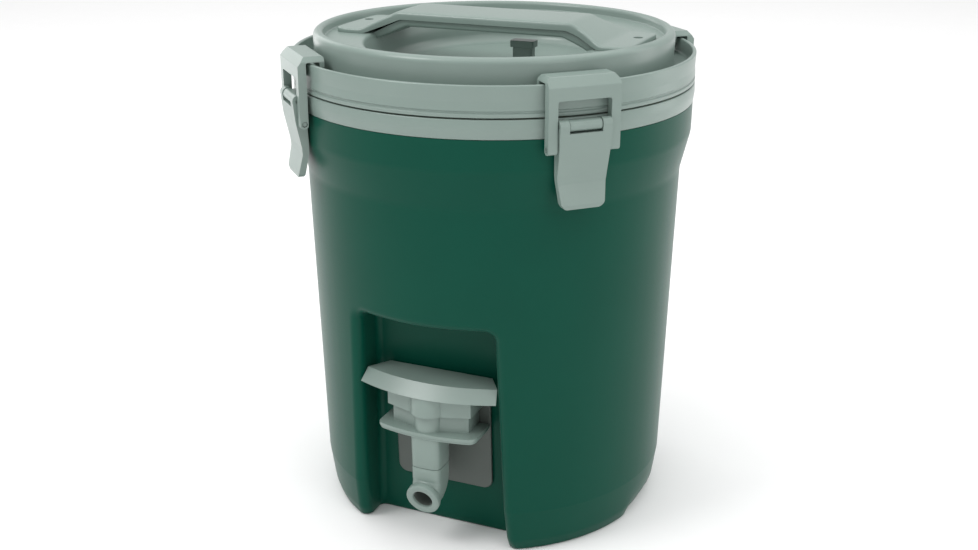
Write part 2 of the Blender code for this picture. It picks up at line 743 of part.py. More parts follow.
def make_lid_shell():
    shell = turned(
        "lid_shell",
        [
            (0, DECK_Z),
            (DRUM_RADIUS - RIM_WIDTH, DECK_Z),
            (DRUM_RADIUS - RIM_WIDTH + 0.5 * MM, DRUM_TOP_Z - 1.2 * MM),
            (DRUM_RADIUS - RIM_WIDTH + 2.0 * MM, DRUM_TOP_Z),
            (DRUM_RADIUS - 2.2 * MM, DRUM_TOP_Z),
            (DRUM_RADIUS - 0.5 * MM, DRUM_TOP_Z - 1.2 * MM),
            (DRUM_RADIUS, DRUM_TOP_Z - 3.0 * MM),
            (DRUM_RADIUS, GUTTER_Z),
            (FLANGE_RADIUS - FLANGE_WALL, GUTTER_Z),
            (FLANGE_RADIUS - FLANGE_WALL, FLANGE_TOP_Z - 0.7 * MM),
            (FLANGE_RADIUS - FLANGE_WALL + 0.7 * MM, FLANGE_TOP_Z),
            (FLANGE_RADIUS - 0.7 * MM, FLANGE_TOP_Z),
            (FLANGE_RADIUS, FLANGE_TOP_Z - 0.7 * MM),
            (FLANGE_RADIUS, FLANGE_FOOT_Z),
            (0, FLANGE_FOOT_Z),
        ],
        GREY,
    )
    hollow = turned("lid_hollow", lid_hollow_profile(0.0, FLANGE_FOOT_Z - CUTTER_REACH))
    cut(hollow, bowl_block("bowl_walls", LID_WALL))
    cut(shell, bowl_block("bowl_space", 0.0))
    cut(shell, hollow)
    for side_name, side_sign in (("left", -1), ("right", 1)):
        hole = screw_bar("deck_hole_" + side_name, side_sign, SCREW_SHAFT_RADIUS + GAP, DECK_Z - 4 * MM, DECK_Z + MM)
        cut(shell, hole)
    cut(shell, vent_bar("vent_hole", VENT_STEM_RADIUS + GAP, FLANGE_FOOT_Z - MM, BOWL_FLOOR_Z + MM))
    return shell


def lid_hollow_profile(inset, foot):
    """The space under the lid's skin, down to foot."""
    return [
        (0, DECK_Z - LID_WALL - inset),
        (DRUM_RADIUS - LID_WALL - inset, DECK_Z - LID_WALL - inset),
        (DRUM_RADIUS - LID_WALL - inset, GUTTER_Z - LID_WALL - inset),
        (FLANGE_RADIUS - FLANGE_WALL - inset, GUTTER_Z - LID_WALL - inset),
        (FLANGE_RADIUS - FLANGE_WALL - inset, foot),
        (0, foot),
    ]


def make_lid_liner():
    """The lid's underside: a shallow pan with a gasket groove, flanged over the collar."""
    top = LID_LINER_FLANGE_Z + LID_LINER_WALL
    groove_top = GASKET_Z + GASKET_HEIGHT
    pan_radius = PLUG_RADIUS - LID_LINER_WALL - GROOVE_DEPTH
    liner = turned(
        "lid_liner",
        [
            (0, PLUG_FLOOR_Z + LID_LINER_WALL),
            (pan_radius, PLUG_FLOOR_Z + LID_LINER_WALL),
            (pan_radius, top),
            (LID_LINER_FLANGE_RADIUS, top),
            (LID_LINER_FLANGE_RADIUS, LID_LINER_FLANGE_Z),
            (PLUG_RADIUS, LID_LINER_FLANGE_Z),
            (PLUG_RADIUS, groove_top),
            (PLUG_RADIUS - GROOVE_DEPTH, groove_top),
            (PLUG_RADIUS - GROOVE_DEPTH, GASKET_Z),
            (PLUG_RADIUS, GASKET_Z),
            (PLUG_RADIUS - 1.5 * MM, PLUG_FLOOR_Z),
            (0, PLUG_FLOOR_Z),
        ],
        DARK_GREY,
    )
    cut(liner, vent_bar("lid_liner_vent", VENT_STEM_RADIUS + GAP, PLUG_FLOOR_Z - MM, PLUG_FLOOR_Z + 3 * MM))
    return liner


def make_lid_foam():
    pan_radius = PLUG_RADIUS - LID_LINER_WALL - GROOVE_DEPTH - GAP
    flange_top = LID_LINER_FLANGE_Z + LID_LINER_WALL + GAP
    profile = lid_hollow_profile(GAP, FLANGE_FOOT_Z)[:-1]
    profile += [(LID_LINER_FLANGE_RADIUS, FLANGE_FOOT_Z), (LID_LINER_FLANGE_RADIUS, flange_top)]
    profile += [(pan_radius, flange_top)]
    profile += [(pan_radius, PLUG_FLOOR_Z + LID_LINER_WALL + GAP), (0, PLUG_FLOOR_Z + LID_LINER_WALL + GAP)]
    foam = turned("lid_foam", profile, FOAM)
    cut(foam, bowl_block("foam_bowl", LID_WALL + GAP))
    cut(foam, vent_bar("foam_vent", VENT_STEM_RADIUS + GAP, PLUG_FLOOR_Z, BOWL_FLOOR_Z))
    return foam


def make_lid_gasket():
    inner = PLUG_RADIUS - GROOVE_DEPTH + GAP
    foot, top = GASKET_Z + GAP, GASKET_Z + GASKET_HEIGHT - GAP
    chamfer = 0.8 * MM
    return turned(
        "lid_gasket",
        [
            (GASKET_RADIUS - chamfer, top),
            (GASKET_RADIUS, top - chamfer),
            (GASKET_RADIUS, foot + chamfer),
            (GASKET_RADIUS - chamfer, foot),
            (inner, foot),
            (inner, top),
        ],
        RUBBER,
    )


def handle_line():
    """The handle's upper line in side view, from its left end to its right."""
    return [
        (-HANDLE_END - TRIM, HANDLE_PAD_Z),
        (-HANDLE_FOOT_HALF, HANDLE_PAD_Z),
        (-HANDLE_BAR_HALF, HANDLE_TOP_Z),
        (HANDLE_BAR_HALF, HANDLE_TOP_Z),
        (HANDLE_FOOT_HALF, HANDLE_PAD_Z),
        (HANDLE_END + TRIM, HANDLE_PAD_Z),
    ]


def make_handle_top():
    """The handle's top shell: two screwed pads and the bridge between them."""
    seat = DECK_Z + GAP
    lean = 2.5 * MM
    under = [
        (HANDLE_END + TRIM, seat),
        (HANDLE_FOOT_HALF - lean, seat),
        (HANDLE_BAR_HALF - lean, HANDLE_TOP_Z - HANDLE_SHELL),
        (-HANDLE_BAR_HALF + lean, HANDLE_TOP_Z - HANDLE_SHELL),
        (-HANDLE_FOOT_HALF + lean, seat),
        (-HANDLE_END - TRIM, seat),
    ]
    radii = [0, 4 * MM, 6 * MM, 6 * MM, 4 * MM, 0, 0, 2 * MM, 4 * MM, 4 * MM, 2 * MM, 0]
    outline = rounded(handle_line() + under, radii)
    pad = HANDLE_PAD_WIDTH / 2
    bar = HANDLE_BAR_WIDTH / 2
    handle = extruded("handle_top", outline, -pad - TRIM, pad + TRIM, "Y", GREY)
    right = [(HANDLE_END, pad), (HANDLE_FOOT_HALF, pad), (HANDLE_BAR_HALF + 4 * MM, bar)]
    plan = right + [(-x, y) for x, y in reversed(right)]
    plan += [(-x, -y) for x, y in right] + [(x, -y) for x, y in reversed(right)]
    plan = rounded(plan, [8 * MM, 4 * MM, 4 * MM, 4 * MM, 4 * MM, 8 * MM] * 2)
    cut(handle, extruded("handle_plan", plan, DECK_Z - MM, HANDLE_TOP_Z + MM, "Z"), "INTERSECT")
    for side_name, side_sign in (("left", -1), ("right", 1)):
        hole = screw_bar("pad_hole_" + side_name, side_sign, SCREW_HEAD_RADIUS + GAP, DECK_Z, HANDLE_TOP_Z)
        cut(handle, hole)
    return handle


def make_handle_underside():
    """The shell that closes the bridge from below, where the fingers go."""
    top = HANDLE_SHELL + GAP
    upper = [
        (-HANDLE_FOOT_HALF + 6 * MM, HANDLE_PAD_Z - top + 1.5 * MM),
        (-HANDLE_BAR_HALF + 3 * MM, HANDLE_TOP_Z - top),
        (HANDLE_BAR_HALF - 3 * MM, HANDLE_TOP_Z - top),
        (HANDLE_FOOT_HALF - 6 * MM, HANDLE_PAD_Z - top + 1.5 * MM),
    ]
    lower = [(x * 0.955, z - GRIP_THICKNESS) for x, z in reversed(upper)]
    lower[0] = (upper[-1][0] - 4 * MM, DECK_Z - MM)
    lower[-1] = (upper[0][0] + 4 * MM, DECK_Z - MM)
    upper[0] = (upper[0][0] + 1.5 * MM, DECK_Z - MM)
    upper[-1] = (upper[-1][0] - 1.5 * MM, DECK_Z - MM)
    half = GRIP_WIDTH / 2
    return extruded("handle_underside", upper + lower, -half, half, "Y", GREY)


def screw_bar(name, side_sign, radius, low, high, finish=None):
    x = side_sign * SCREW_X
    return cylinder(name, radius, (x, SCREW_Y, low), (x, SCREW_Y, high), finish, 16)


def make_handle_screw(side_name, side_sign):
    seat = DECK_Z + GAP
    screw = screw_bar(
        "handle_screw_" + side_name, side_sign, SCREW_HEAD_RADIUS, seat, seat + SCREW_HEAD_HEIGHT, STEEL
    )
    shaft = screw_bar("screw_shaft_" + side_name, side_sign, SCREW_SHAFT_RADIUS, DECK_Z - LID_WALL, seat + MM / 2)
    cut(screw, shaft, "UNION")
    return screw


def vent_bar(name, radius, low, high, finish=None):
    return cylinder(name, radius, (VENT_X, VENT_Y, low), (VENT_X, VENT_Y, high), finish, 16)


def make_vent():
    """The vent plug in the bowl: it lifts off its seal until the stem's foot meets the lid's underside."""
    width, depth, height = (side / 2 for side in VENT_CAP)
    cap_foot = VENT_TOP_Z - 2 * height
    plug = box(
        "vent_plug",
        (VENT_X - width, VENT_Y - depth, cap_foot),
        (VENT_X + width, VENT_Y + depth, VENT_TOP_Z),
        GREY,
    )
    bevel(plug, MM, 2)
    neck_x, neck_y = (side / 2 for side in VENT_NECK)
    seal_foot = BOWL_FLOOR_Z + GAP
    neck_foot = seal_foot + VENT_SEAL_HEIGHT + GAP
    neck = box(
        "vent_neck",
        (VENT_X - neck_x, VENT_Y - neck_y, neck_foot),
        (VENT_X + neck_x, VENT_Y + neck_y, cap_foot + MM),
    )
    cut(plug, neck, "UNION")
    stop_z = PLUG_FLOOR_Z - VENT_TRAVEL - GAP
    cut(plug, vent_bar("vent_stem", VENT_STEM_RADIUS, stop_z - MM, neck_foot + MM), "UNION")
    cut(plug, vent_bar("vent_stop", VENT_STOP_RADIUS, stop_z - 2 * MM, stop_z), "UNION")
    ring(
        "vent_seal",
        VENT_STEM_RADIUS + PIN_CLEARANCE,
        VENT_SEAL_RADIUS,
        (VENT_X, VENT_Y, seal_foot),
        (VENT_X, VENT_Y, seal_foot + VENT_SEAL_HEIGHT),
        RUBBER,
        16,
    )


# ---------------------------------------------------------------- tap


def upright(name, radius, low, high, finish=None, y=TAP_Y, steps=SMALL_STEPS):
    return cylinder(name, radius, (0, y, low), (0, y, high), finish, steps)


def block_plan(grow):
    """The valve block seen from above: a back edge, two swept wings and room for the round nose."""
    half = BLOCK_HALF_WIDTH + grow
    nose = BLOCK_NOSE_RADIUS + grow
    return [
        (-half, TAP_BACK_Y),
        (-half, BLOCK_CORNER_Y - grow),
        (-nose, BLOCK_NOSE_Y - grow),
        (nose, BLOCK_NOSE_Y - grow),
        (half, BLOCK_CORNER_Y - grow),
        (half, TAP_BACK_Y),
    ]


def make_tap_plate():
    """The plate that spreads the tap's clamping force over the alcove's back."""
    half = PLATE_HALF_WIDTH
    outline = rounded(
        [(-half, PLATE_FOOT_Z), (half, PLATE_FOOT_Z), (half, PLATE_TOP_Z), (-half, PLATE_TOP_Z)],
        [PLATE_CORNER] * 4,
    )
    rings = []
    for offset in (GAP, GAP + PLATE_THICKNESS):
        rings.append([(x, alcove_back(z) - offset, z) for x, z in outline])
    plate = loft("tap_plate", rings, DARK_GREY)
    cut(plate, tap_hole("plate_tap_hole"))
    return plate


def make_tap_body():
    """The valve block on its shelf, with the shank through the wall and the down tube below."""
    corner_y = SHELF_CORNER_Y
    shelf = rounded(
        [
            (-SHELF_HALF_WIDTH, TAP_BACK_Y),
            (-SHELF_HALF_WIDTH, corner_y),
            (0, 2 * SHELF_FRONT_Y - corner_y),
            (SHELF_HALF_WIDTH, corner_y),
            (SHELF_HALF_WIDTH, TAP_BACK_Y),
        ],
        [0, SHELF_CORNER, 60 * MM, SHELF_CORNER, 0],
        5,
    )
    shelf_foot = SHELF_TOP_Z - SHELF_THICKNESS
    body = extruded("tap_body", shelf, shelf_foot, SHELF_TOP_Z, "Z", GREY)
    joined = shelf_foot + MM
    cut(body, extruded("tap_block", block_plan(0.0), joined, BLOCK_TOP_Z, "Z"), "UNION")
    cut(body, upright("tap_nose", BLOCK_NOSE_RADIUS, joined, BLOCK_TOP_Z), "UNION")
    half = TUBE_HALF_WIDTH
    tube = rounded([(-half, -half), (half, -half), (half, half), (-half, half)], [TUBE_CORNER] * 4)
    tube = [(x, y + TUBE_Y) for x, y in tube]
    cut(body, extruded("down_tube", tube, TUBE_SEAM_Z + GAP / 2, joined, "Z"), "UNION")
    shank = (0, BLOCK_CORNER_Y, SHANK_Z), (0, SHANK_END_Y, SHANK_Z)
    cut(body, cylinder("tap_shank", SHANK_RADIUS, *shank), "UNION")
    cut(body, upright("chamber_space", CHAMBER_RADIUS, CHAMBER_FLOOR_Z, BLOCK_TOP_Z + MM))
    cut(body, upright("seat_space", SEAT_RADIUS, SEAT_Z - MM, CHAMBER_FLOOR_Z + MM))
    cut(body, upright("outlet_space", OUTLET_RADIUS, TUBE_SEAM_Z - MM, SEAT_Z))
    inlet = (0, TAP_Y, SHANK_Z - 2 * MM), (0, SHANK_END_Y + MM, SHANK_Z - 2 * MM)
    cut(body, cylinder("inlet_space", SHANK_BORE, *inlet))
    return body


def make_tap_fixings():
    """What clamps the tap to the wall from inside the liner."""
    washer_start = LINER_FLAT_Y + LINER_WALL + GAP
    nut_start = washer_start + WASHER_THICKNESS + GAP
    ring(
        "tap_washer",
        HOLE_RADIUS,
        WASHER_RADIUS,
        (0, washer_start, SHANK_Z),
        (0, washer_start + WASHER_THICKNESS, SHANK_Z),
        RUBBER,
    )
    ring(
        "tap_locknut",
        HOLE_RADIUS,
        NUT_RADIUS,
        (0, nut_start, SHANK_Z),
        (0, nut_start + NUT_THICKNESS, SHANK_Z),
        DARK_GREY,
        outer_steps=6,
    )


def bowed_outline(corner, nose_y):
    """Half the paddle's plan, mirrored: a straight back, slanting ends and a bowed front."""
    x, y = corner
    rise = y - nose_y
    front = [(x * (1 - 2 * i / 12), y - rise * (1 - (1 - 2 * i / 12) ** 2)) for i in range(13)]
    return [(-PADDLE_BACK_HALF, PADDLE_BACK_Y), (PADDLE_BACK_HALF, PADDLE_BACK_Y)] + front


def make_paddle():
    """The push paddle: a hollow sloped-front cap on a skirt that slides down over the valve block."""
    top = bowed_outline(PADDLE_TOP_CORNER, PADDLE_TOP_NOSE_Y)
    lip = bowed_outline(PADDLE_LIP_CORNER, PADDLE_LIP_NOSE_Y)
    rings = [[(x, y, PADDLE_LIP_Z) for x, y in lip], [(x, y, PADDLE_TOP_Z) for x, y in top]]
    paddle = loft("paddle", rings, GREY)
    shrink = 1 - PADDLE_SHELL / PADDLE_BACK_HALF
    middle_y = (PADDLE_BACK_Y + PADDLE_LIP_NOSE_Y) / 2
    pocket_rings = []
    for outline, z in ((lip, PADDLE_LIP_Z - MM), (top, PADDLE_TOP_Z - PADDLE_SHELL)):
        pocket_rings.append([(x * shrink, middle_y + (y - middle_y) * 0.78, z) for x, y in outline])
    cut(paddle, loft("paddle_pocket", pocket_rings))
    skirt_top = PADDLE_TOP_Z - PADDLE_SHELL / 2
    nose_top = PADDLE_LIP_Z + MM / 2
    outer = SKIRT_CLEARANCE + SKIRT_WALL
    cut(paddle, extruded("skirt_wings", block_plan(outer), SKIRT_FOOT_Z, skirt_top, "Z"), "UNION")
    nose_radius = BLOCK_NOSE_RADIUS + outer
    cut(paddle, upright("skirt_nose", nose_radius, SKIRT_FOOT_Z, nose_top), "UNION")
    inside_top = PADDLE_TOP_Z - PADDLE_SHELL + MM / 2
    wings = block_plan(SKIRT_CLEARANCE)
    wings = [(x, y + 2 * MM if y == TAP_BACK_Y else y) for x, y in wings]
    cut(paddle, extruded("skirt_wing_space", wings, SKIRT_FOOT_Z - MM, inside_top, "Z"))
    nose_space = BLOCK_NOSE_RADIUS + SKIRT_CLEARANCE
    cut(paddle, upright("skirt_nose_space", nose_space, SKIRT_FOOT_Z - MM, nose_top + MM))
    spring_space = SPRING_RADIUS + SPRING_WIRE + 2 * GAP
    cut(paddle, upright("spring_space", spring_space, SKIRT_FOOT_Z, inside_top))
    return paddle


def make_valve():
    """The stem under the paddle, its seal below the seat, the bonnet that guides it, and the return spring."""
    seal_top = SEAT_Z - GAP
    seal_foot = seal_top - SEAL_THICKNESS
    stem = upright("valve_stem", STEM_RADIUS, seal_foot - GAP, STEM_TOP_Z, STEEL, steps=16)
    head = upright("stem_head", STEM_RADIUS + 2 * MM, seal_foot - 2 * MM, seal_foot - GAP, steps=16)
    cut(stem, head, "UNION")
    centre = 0, TAP_Y
    ring("valve_seal", STEM_RADIUS + GAP, SEAL_RADIUS, (*centre, seal_foot), (*centre, seal_top), RUBBER, 16)
    bonnet_top = BONNET_Z + BONNET_THICKNESS
    ring(
        "valve_bonnet",
        STEM_RADIUS + GAP,
        CHAMBER_RADIUS - GAP,
        (*centre, BONNET_Z),
        (*centre, bonnet_top),
        DARK_GREY,
    )
    make_spring(bonnet_top + GAP, STEM_TOP_Z - GAP)


def make_spring(low, high):
    """The return spring: a wire coil between the bonnet and the paddle."""
    count = SPRING_TURNS * SPRING_STEPS
    curve = bpy.data.curves.new("return_spring", "CURVE")
    curve.dimensions = "3D"
    curve.bevel_depth = SPRING_WIRE
    curve.bevel_resolution = 1
    curve.use_fill_caps = True
    spline = curve.splines.new("POLY")
    spline.points.add(count)
    foot, top = low + SPRING_WIRE, high - SPRING_WIRE
    for i, point in enumerate(spline.points):
        turn = 2 * math.pi * i / SPRING_STEPS
        x, y = SPRING_RADIUS * math.cos(turn), SPRING_RADIUS * math.sin(turn)
        point.co = (x, TAP_Y + y, foot + (top - foot) * i / count, 1.0)
    curve.materials.append(material(STEEL))
    pieces.objects.link(bpy.data.objects.new("return_spring", curve))


def nozzle_path():
    """(y, z, tilt) along the nozzle's middle: straight down, round the bend, then on to the outlet."""
    corner = Vector((TUBE_Y, NOZZLE_ELBOW_Z))
    path = [(TUBE_Y, TUBE_SEAM_Z - GAP / 2, 0.0)]
    reach = NOZZLE_BEND * math.tan(NOZZLE_TILT / 2)
    start = corner + Vector((0, reach))
    bend_steps = 6
    for step in range(bend_steps + 1):
        tilt = NOZZLE_TILT * step / bend_steps
        y = start.x - NOZZLE_BEND * (1 - math.cos(tilt))
        z = start.y - NOZZLE_BEND * math.sin(tilt)
        path.append((y, z, tilt))
    path.append((*NOZZLE_END, NOZZLE_TILT))
    return path


def nozzle_ring(spot, radius, squareness):
    """A ring of points across the nozzle, between round (0) and square (1)."""
    y, z, tilt = spot
    points = []
    for i in range(SMALL_STEPS):
        turn = 2 * math.pi * (i + 0.5) / SMALL_STEPS
        c, s = math.cos(turn), math.sin(turn)
        swell = (abs(c) ** 4 + abs(s) ** 4) ** -0.25
        size = radius * (1 + (swell - 1) * squareness)
        across, along = size * c, size * s
        points.append((across, y + along * math.cos(tilt), z - along * math.sin(tilt)))
    return points


def make_nozzle():
    path = nozzle_path()
    y, z, tilt = path[-1]
    rings = []
    for i, spot in enumerate(path[:-1]):
        share = i / (len(path) - 2)
        radius = TUBE_HALF_WIDTH + (NOZZLE_RADIUS - TUBE_HALF_WIDTH) * share
        rings.append(nozzle_ring(spot, radius, 1 - share))
    for back in (NOZZLE_RIM_LENGTH, 0.0):
        spot = y + back * math.sin(tilt), z + back * math.cos(tilt), tilt
        rings.append(nozzle_ring(spot, NOZZLE_RIM_RADIUS, 0.0))
    nozzle = loft("nozzle", rings, GREY)
    bore = [nozzle_ring(spot, NOZZLE_BORE, 0.0) for spot in path]
    past_end = (y - 2 * MM * math.sin(tilt), z - 2 * MM * math.cos(tilt), tilt)
    over_top = (path[0][0], path[0][1] + 2 * MM, 0.0)
    bore = [nozzle_ring(over_top, NOZZLE_BORE, 0.0)] + bore + [nozzle_ring(past_end, NOZZLE_BORE, 0.0)]
    cut(nozzle, loft("nozzle_space", bore))
    return nozzle


# ---------------------------------------------------------------- the jug

clear_scene()
pieces = new_collection("water_jug", True)
cutters = new_collection("cutters", False)

make_outer_shell()
make_body_foam()
make_liner()
make_collar()
for latch_name, latch_angle in LATCH_ANGLES.items():
    make_latch(latch_name, latch_angle)
make_lid_shell()
make_lid_liner()
make_lid_foam()
make_lid_gasket()
make_handle_top()
make_handle_underside()
make_handle_screw("left", -1)
make_handle_screw("right", 1)
make_vent()
make_tap_plate()
make_tap_body()
make_tap_fixings()
make_paddle()
make_valve()
make_nozzle()
weld_seams(pieces)
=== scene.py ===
"""Looks for the insulated water jug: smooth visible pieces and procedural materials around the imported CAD."""

import json
import math

import bmesh
import bpy
import numpy as np
from mathutils import Matrix, Vector


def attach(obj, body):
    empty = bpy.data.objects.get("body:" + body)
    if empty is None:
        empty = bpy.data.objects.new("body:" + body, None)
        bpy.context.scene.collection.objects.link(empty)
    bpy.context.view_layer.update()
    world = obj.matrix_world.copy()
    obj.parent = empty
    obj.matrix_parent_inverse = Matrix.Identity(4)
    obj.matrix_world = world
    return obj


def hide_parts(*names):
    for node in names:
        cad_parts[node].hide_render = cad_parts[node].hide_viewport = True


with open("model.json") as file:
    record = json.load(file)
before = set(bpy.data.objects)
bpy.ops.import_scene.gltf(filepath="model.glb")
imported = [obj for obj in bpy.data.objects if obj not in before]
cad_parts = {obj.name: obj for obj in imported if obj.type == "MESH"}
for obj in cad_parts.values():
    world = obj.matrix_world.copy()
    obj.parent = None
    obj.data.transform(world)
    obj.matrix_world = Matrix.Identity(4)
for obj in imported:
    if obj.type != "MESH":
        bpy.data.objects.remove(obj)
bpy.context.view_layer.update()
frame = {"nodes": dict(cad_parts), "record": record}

MM = 0.001  # every length below is in millimetres, and mesh_piece() turns it into metres
LATCHES = {"front_right": 45.0, "back_right": 135.0, "back_left": -135.0, "front_left": -45.0}
SHARP_ANGLE = 38.0
MERGE_DISTANCE = 1e-6
SLIVER_LENGTH = 1e-7


# ---------------------------------------------------------------- camera and studio

CAMERA_PLACE = (0.29475, -0.69865, 0.41722)
CAMERA_TURN = (69.802, 0.0, 23.108)
CAMERA_LENS = 46.51
SENSOR = 36.0

camera_data = bpy.data.cameras.new("camera")
camera_data.lens = CAMERA_LENS
camera_data.sensor_width = SENSOR
camera = bpy.data.objects.new("camera", camera_data)
camera.location = CAMERA_PLACE
camera.rotation_euler = [math.radians(angle) for angle in CAMERA_TURN]
bpy.context.scene.collection.objects.link(camera)
bpy.context.scene.camera = camera
bpy.context.scene.view_settings.view_transform = "Standard"


def soft_light(name, place, size, power, aim=(0.0, 0.0, 0.15)):
    data = bpy.data.lights.new(name, "AREA")
    data.shape = "RECTANGLE"
    data.size, data.size_y = size
    data.energy = power
    light = bpy.data.objects.new(name, data)
    light.location = place
    light.rotation_euler = (Vector(aim) - Vector(place)).to_track_quat("-Z", "Y").to_euler()
    bpy.context.scene.collection.objects.link(light)


soft_light("key", (-0.8, -0.9, 1.5), (0.6, 0.6), 9.0)
soft_light("fill", (1.3, -0.7, 0.7), (0.5, 1.1), 3.0)
soft_light("top", (0.0, 0.1, 2.8), (5.0, 5.0), 80.0)
soft_light("rim_left", (-1.2, 0.7, 0.5), (0.5, 1.2), 3.0)
soft_light("rim_right", (1.1, 0.8, 0.5), (0.5, 1.2), 3.0)

world = bpy.data.worlds.new("studio")
world.use_nodes = True
world.node_tree.nodes["Background"].inputs["Color"].default_value = (1.0, 1.0, 1.0, 1.0)
world.node_tree.nodes["Background"].inputs["Strength"].default_value = 0.68
bpy.context.scene.world = world


# ---------------------------------------------------------------- materials


def plastic(name, colour, roughness, grain=0.03, bump=0.05, grain_size=900.0, specular=0.5, sheen=0.0):
    """Moulded plastic: a faint mottle in colour and roughness, and a fine sparked texture."""
    made = bpy.data.materials.new(name)
    made.use_nodes = True
    tree = made.node_tree
    shader = tree.nodes["Principled BSDF"]
    shader.inputs["Specular IOR Level"].default_value = specular
    shader.inputs["Sheen Weight"].default_value = sheen
    shader.inputs["Sheen Roughness"].default_value = 0.4
    place = tree.nodes.new("ShaderNodeTexCoord")

    broad = tree.nodes.new("ShaderNodeTexNoise")
    broad.inputs["Scale"].default_value = 28.0
    broad.inputs["Detail"].default_value = 4.0
    tree.links.new(place.outputs["Object"], broad.inputs["Vector"])
    fine = tree.nodes.new("ShaderNodeTexNoise")
    fine.inputs["Scale"].default_value = grain_size
    fine.inputs["Detail"].default_value = 3.0
    tree.links.new(place.outputs["Object"], fine.inputs["Vector"])

    shade = tree.nodes.new("ShaderNodeValToRGB")
    low, high = shade.color_ramp.elements
    low.position, high.position = 0.3, 0.7
    low.color = (*[c * (1 - grain) for c in colour], 1.0)
    high.color = (*[min(1.0, c * (1 + grain)) for c in colour], 1.0)
    tree.links.new(broad.outputs["Fac"], shade.inputs["Fac"])
    tree.links.new(shade.outputs["Color"], shader.inputs["Base Color"])

    rough = tree.nodes.new("ShaderNodeMapRange")
    rough.inputs["To Min"].default_value = roughness - 0.05
    rough.inputs["To Max"].default_value = roughness + 0.05
    tree.links.new(fine.outputs["Fac"], rough.inputs["Value"])
    tree.links.new(rough.outputs["Result"], shader.inputs["Roughness"])

    relief = tree.nodes.new("ShaderNodeBump")
    relief.inputs["Strength"].default_value = bump
    relief.inputs["Distance"].default_value = 0.0002
    tree.links.new(fine.outputs["Fac"], relief.inputs["Height"])
    tree.links.new(relief.outputs["Normal"], shader.inputs["Normal"])
    return made


def metal(name, colour, roughness):
    made = plastic(name, colour, roughness, grain=0.06, bump=0.03, grain_size=500.0)
    made.node_tree.nodes["Principled BSDF"].inputs["Metallic"].default_value = 1.0
    return made


GREEN = plastic("body_green", (0.0, 0.058, 0.036), 0.34, bump=0.06, specular=0.12, sheen=0.05)
GREY = plastic("lid_grey", (0.200, 0.262, 0.236), 0.30, bump=0.05, specular=0.5)
# The tap's darker plastic is its own colour; the nozzle's bore sleeve also wears it as painted shade.
DARK = plastic("tap_dark", (0.095, 0.112, 0.101), 0.46, bump=0.06, specular=0.4)
WHITE = plastic("liner_white", (0.70, 0.71, 0.68), 0.35)
FOAM = plastic("foam", (0.72, 0.64, 0.42), 0.9, grain=0.12, bump=0.5, grain_size=500.0)
STEEL = metal("steel", (0.55, 0.56, 0.57), 0.28)
RUBBER = plastic("seal", (0.03, 0.03, 0.03), 0.7)
SLOT_LOOKS = {
    "bottle_green": GREEN,
    "sage_grey": GREY,
    "dark_sage": DARK,
    "liner_white": WHITE,
    "insulation_foam": FOAM,
    "stainless_steel": STEEL,
    "seal_rubber": RUBBER,
}


# ---------------------------------------------------------------- making meshes


def link(name, mesh):
    made = bpy.data.objects.new(name, mesh)
    bpy.context.scene.collection.objects.link(made)
    return made


def mesh_piece(name, vertices, faces):
    """An object from vertices in millimetres, with doubled points merged and faces turned outward."""
    bm = bmesh.new()
    made = [bm.verts.new([c * MM for c in v]) for v in vertices]
    for face in faces:
        points = [made[i] for i in dict.fromkeys(face)]
        if len(points) > 2:
            bm.faces.new(points)
    bmesh.ops.remove_doubles(bm, verts=bm.verts, dist=MERGE_DISTANCE)
    bmesh.ops.dissolve_degenerate(bm, dist=SLIVER_LENGTH, edges=bm.edges)
    bmesh.ops.recalc_face_normals(bm, faces=bm.faces)
    mesh = bpy.data.meshes.new(name)
    bm.to_mesh(mesh)
    bm.free()
    return link(name, mesh)


def loft(name, rings, closed_ends=True, ring_loop=False):
    """A skin through rings of points that all have the same count."""
    count = len(rings[0])
    vertices = [point for ring in rings for point in ring]
    faces = []
    pairs = len(rings) if ring_loop else len(rings) - 1
    for k in range(pairs):
        a, b = k * count, ((k + 1) % len(rings)) * count
        for i in range(count):
            j = (i + 1) % count
            faces.append((a + i, a + j, b + j, b + i))
    if closed_ends and not ring_loop:
        faces.append(tuple(range(count)))
        faces.append(tuple(range(len(vertices) - count, len(vertices))))
    return mesh_piece(name, vertices, faces)


def arc(centre, radius, start, end, steps):
    turn = [math.radians(start + (end - start) * i / steps) for i in range(steps + 1)]
    return [(centre[0] + radius * math.cos(a), centre[1] + radius * math.sin(a)) for a in turn]


def rounded(points, radii, steps=6, closed=True):
    """The outline with its corners rounded by true arcs; a single radius serves every corner."""
    if not isinstance(radii, (list, tuple)):
        radii = [radii] * len(points)
    made = []
    last = len(points) - 1
    for i, point in enumerate(points):
        if not radii[i] or (not closed and i in (0, last)):
            made.append(tuple(point))
            continue
        corner = Vector(point)
        before = (Vector(points[i - 1]) - corner).normalized()
        after = (Vector(points[(i + 1) % len(points)]) - corner).normalized()
        half = before.angle(after) / 2
        if half > math.radians(89.5):
            made.append(tuple(point))
            continue
        middle = (before + after).normalized()
        centre = corner + middle * (radii[i] / math.sin(half))
        start = corner + before * (radii[i] / math.tan(half)) - centre
        end = corner + after * (radii[i] / math.tan(half)) - centre
        sweep = start.angle_signed(end)
        for step in range(steps + 1):
            turn = -sweep * step / steps
            c, s = math.cos(turn), math.sin(turn)
            made.append((centre.x + start.x * c - start.y * s, centre.y + start.x * s + start.y * c))
    return made


def prism(name, outline, low, high, axis):
    place = {
        "X": lambda a, b, c: (c, a, b),
        "Y": lambda a, b, c: (a, c, b),
        "Z": lambda a, b, c: (a, b, c),
    }[axis]
    return loft(name, [[place(a, b, c) for a, b in outline] for c in (low, high)])


def turned(name, profile, steps=180, closed=True):
    """A profile of (radius, z) turned about Z."""
    angles = [2 * math.pi * i / steps for i in range(steps)]
    rings = [[(r * math.cos(a), r * math.sin(a), z) for a in angles] for r, z in profile]
    return loft(name, rings, closed_ends=not closed, ring_loop=closed)


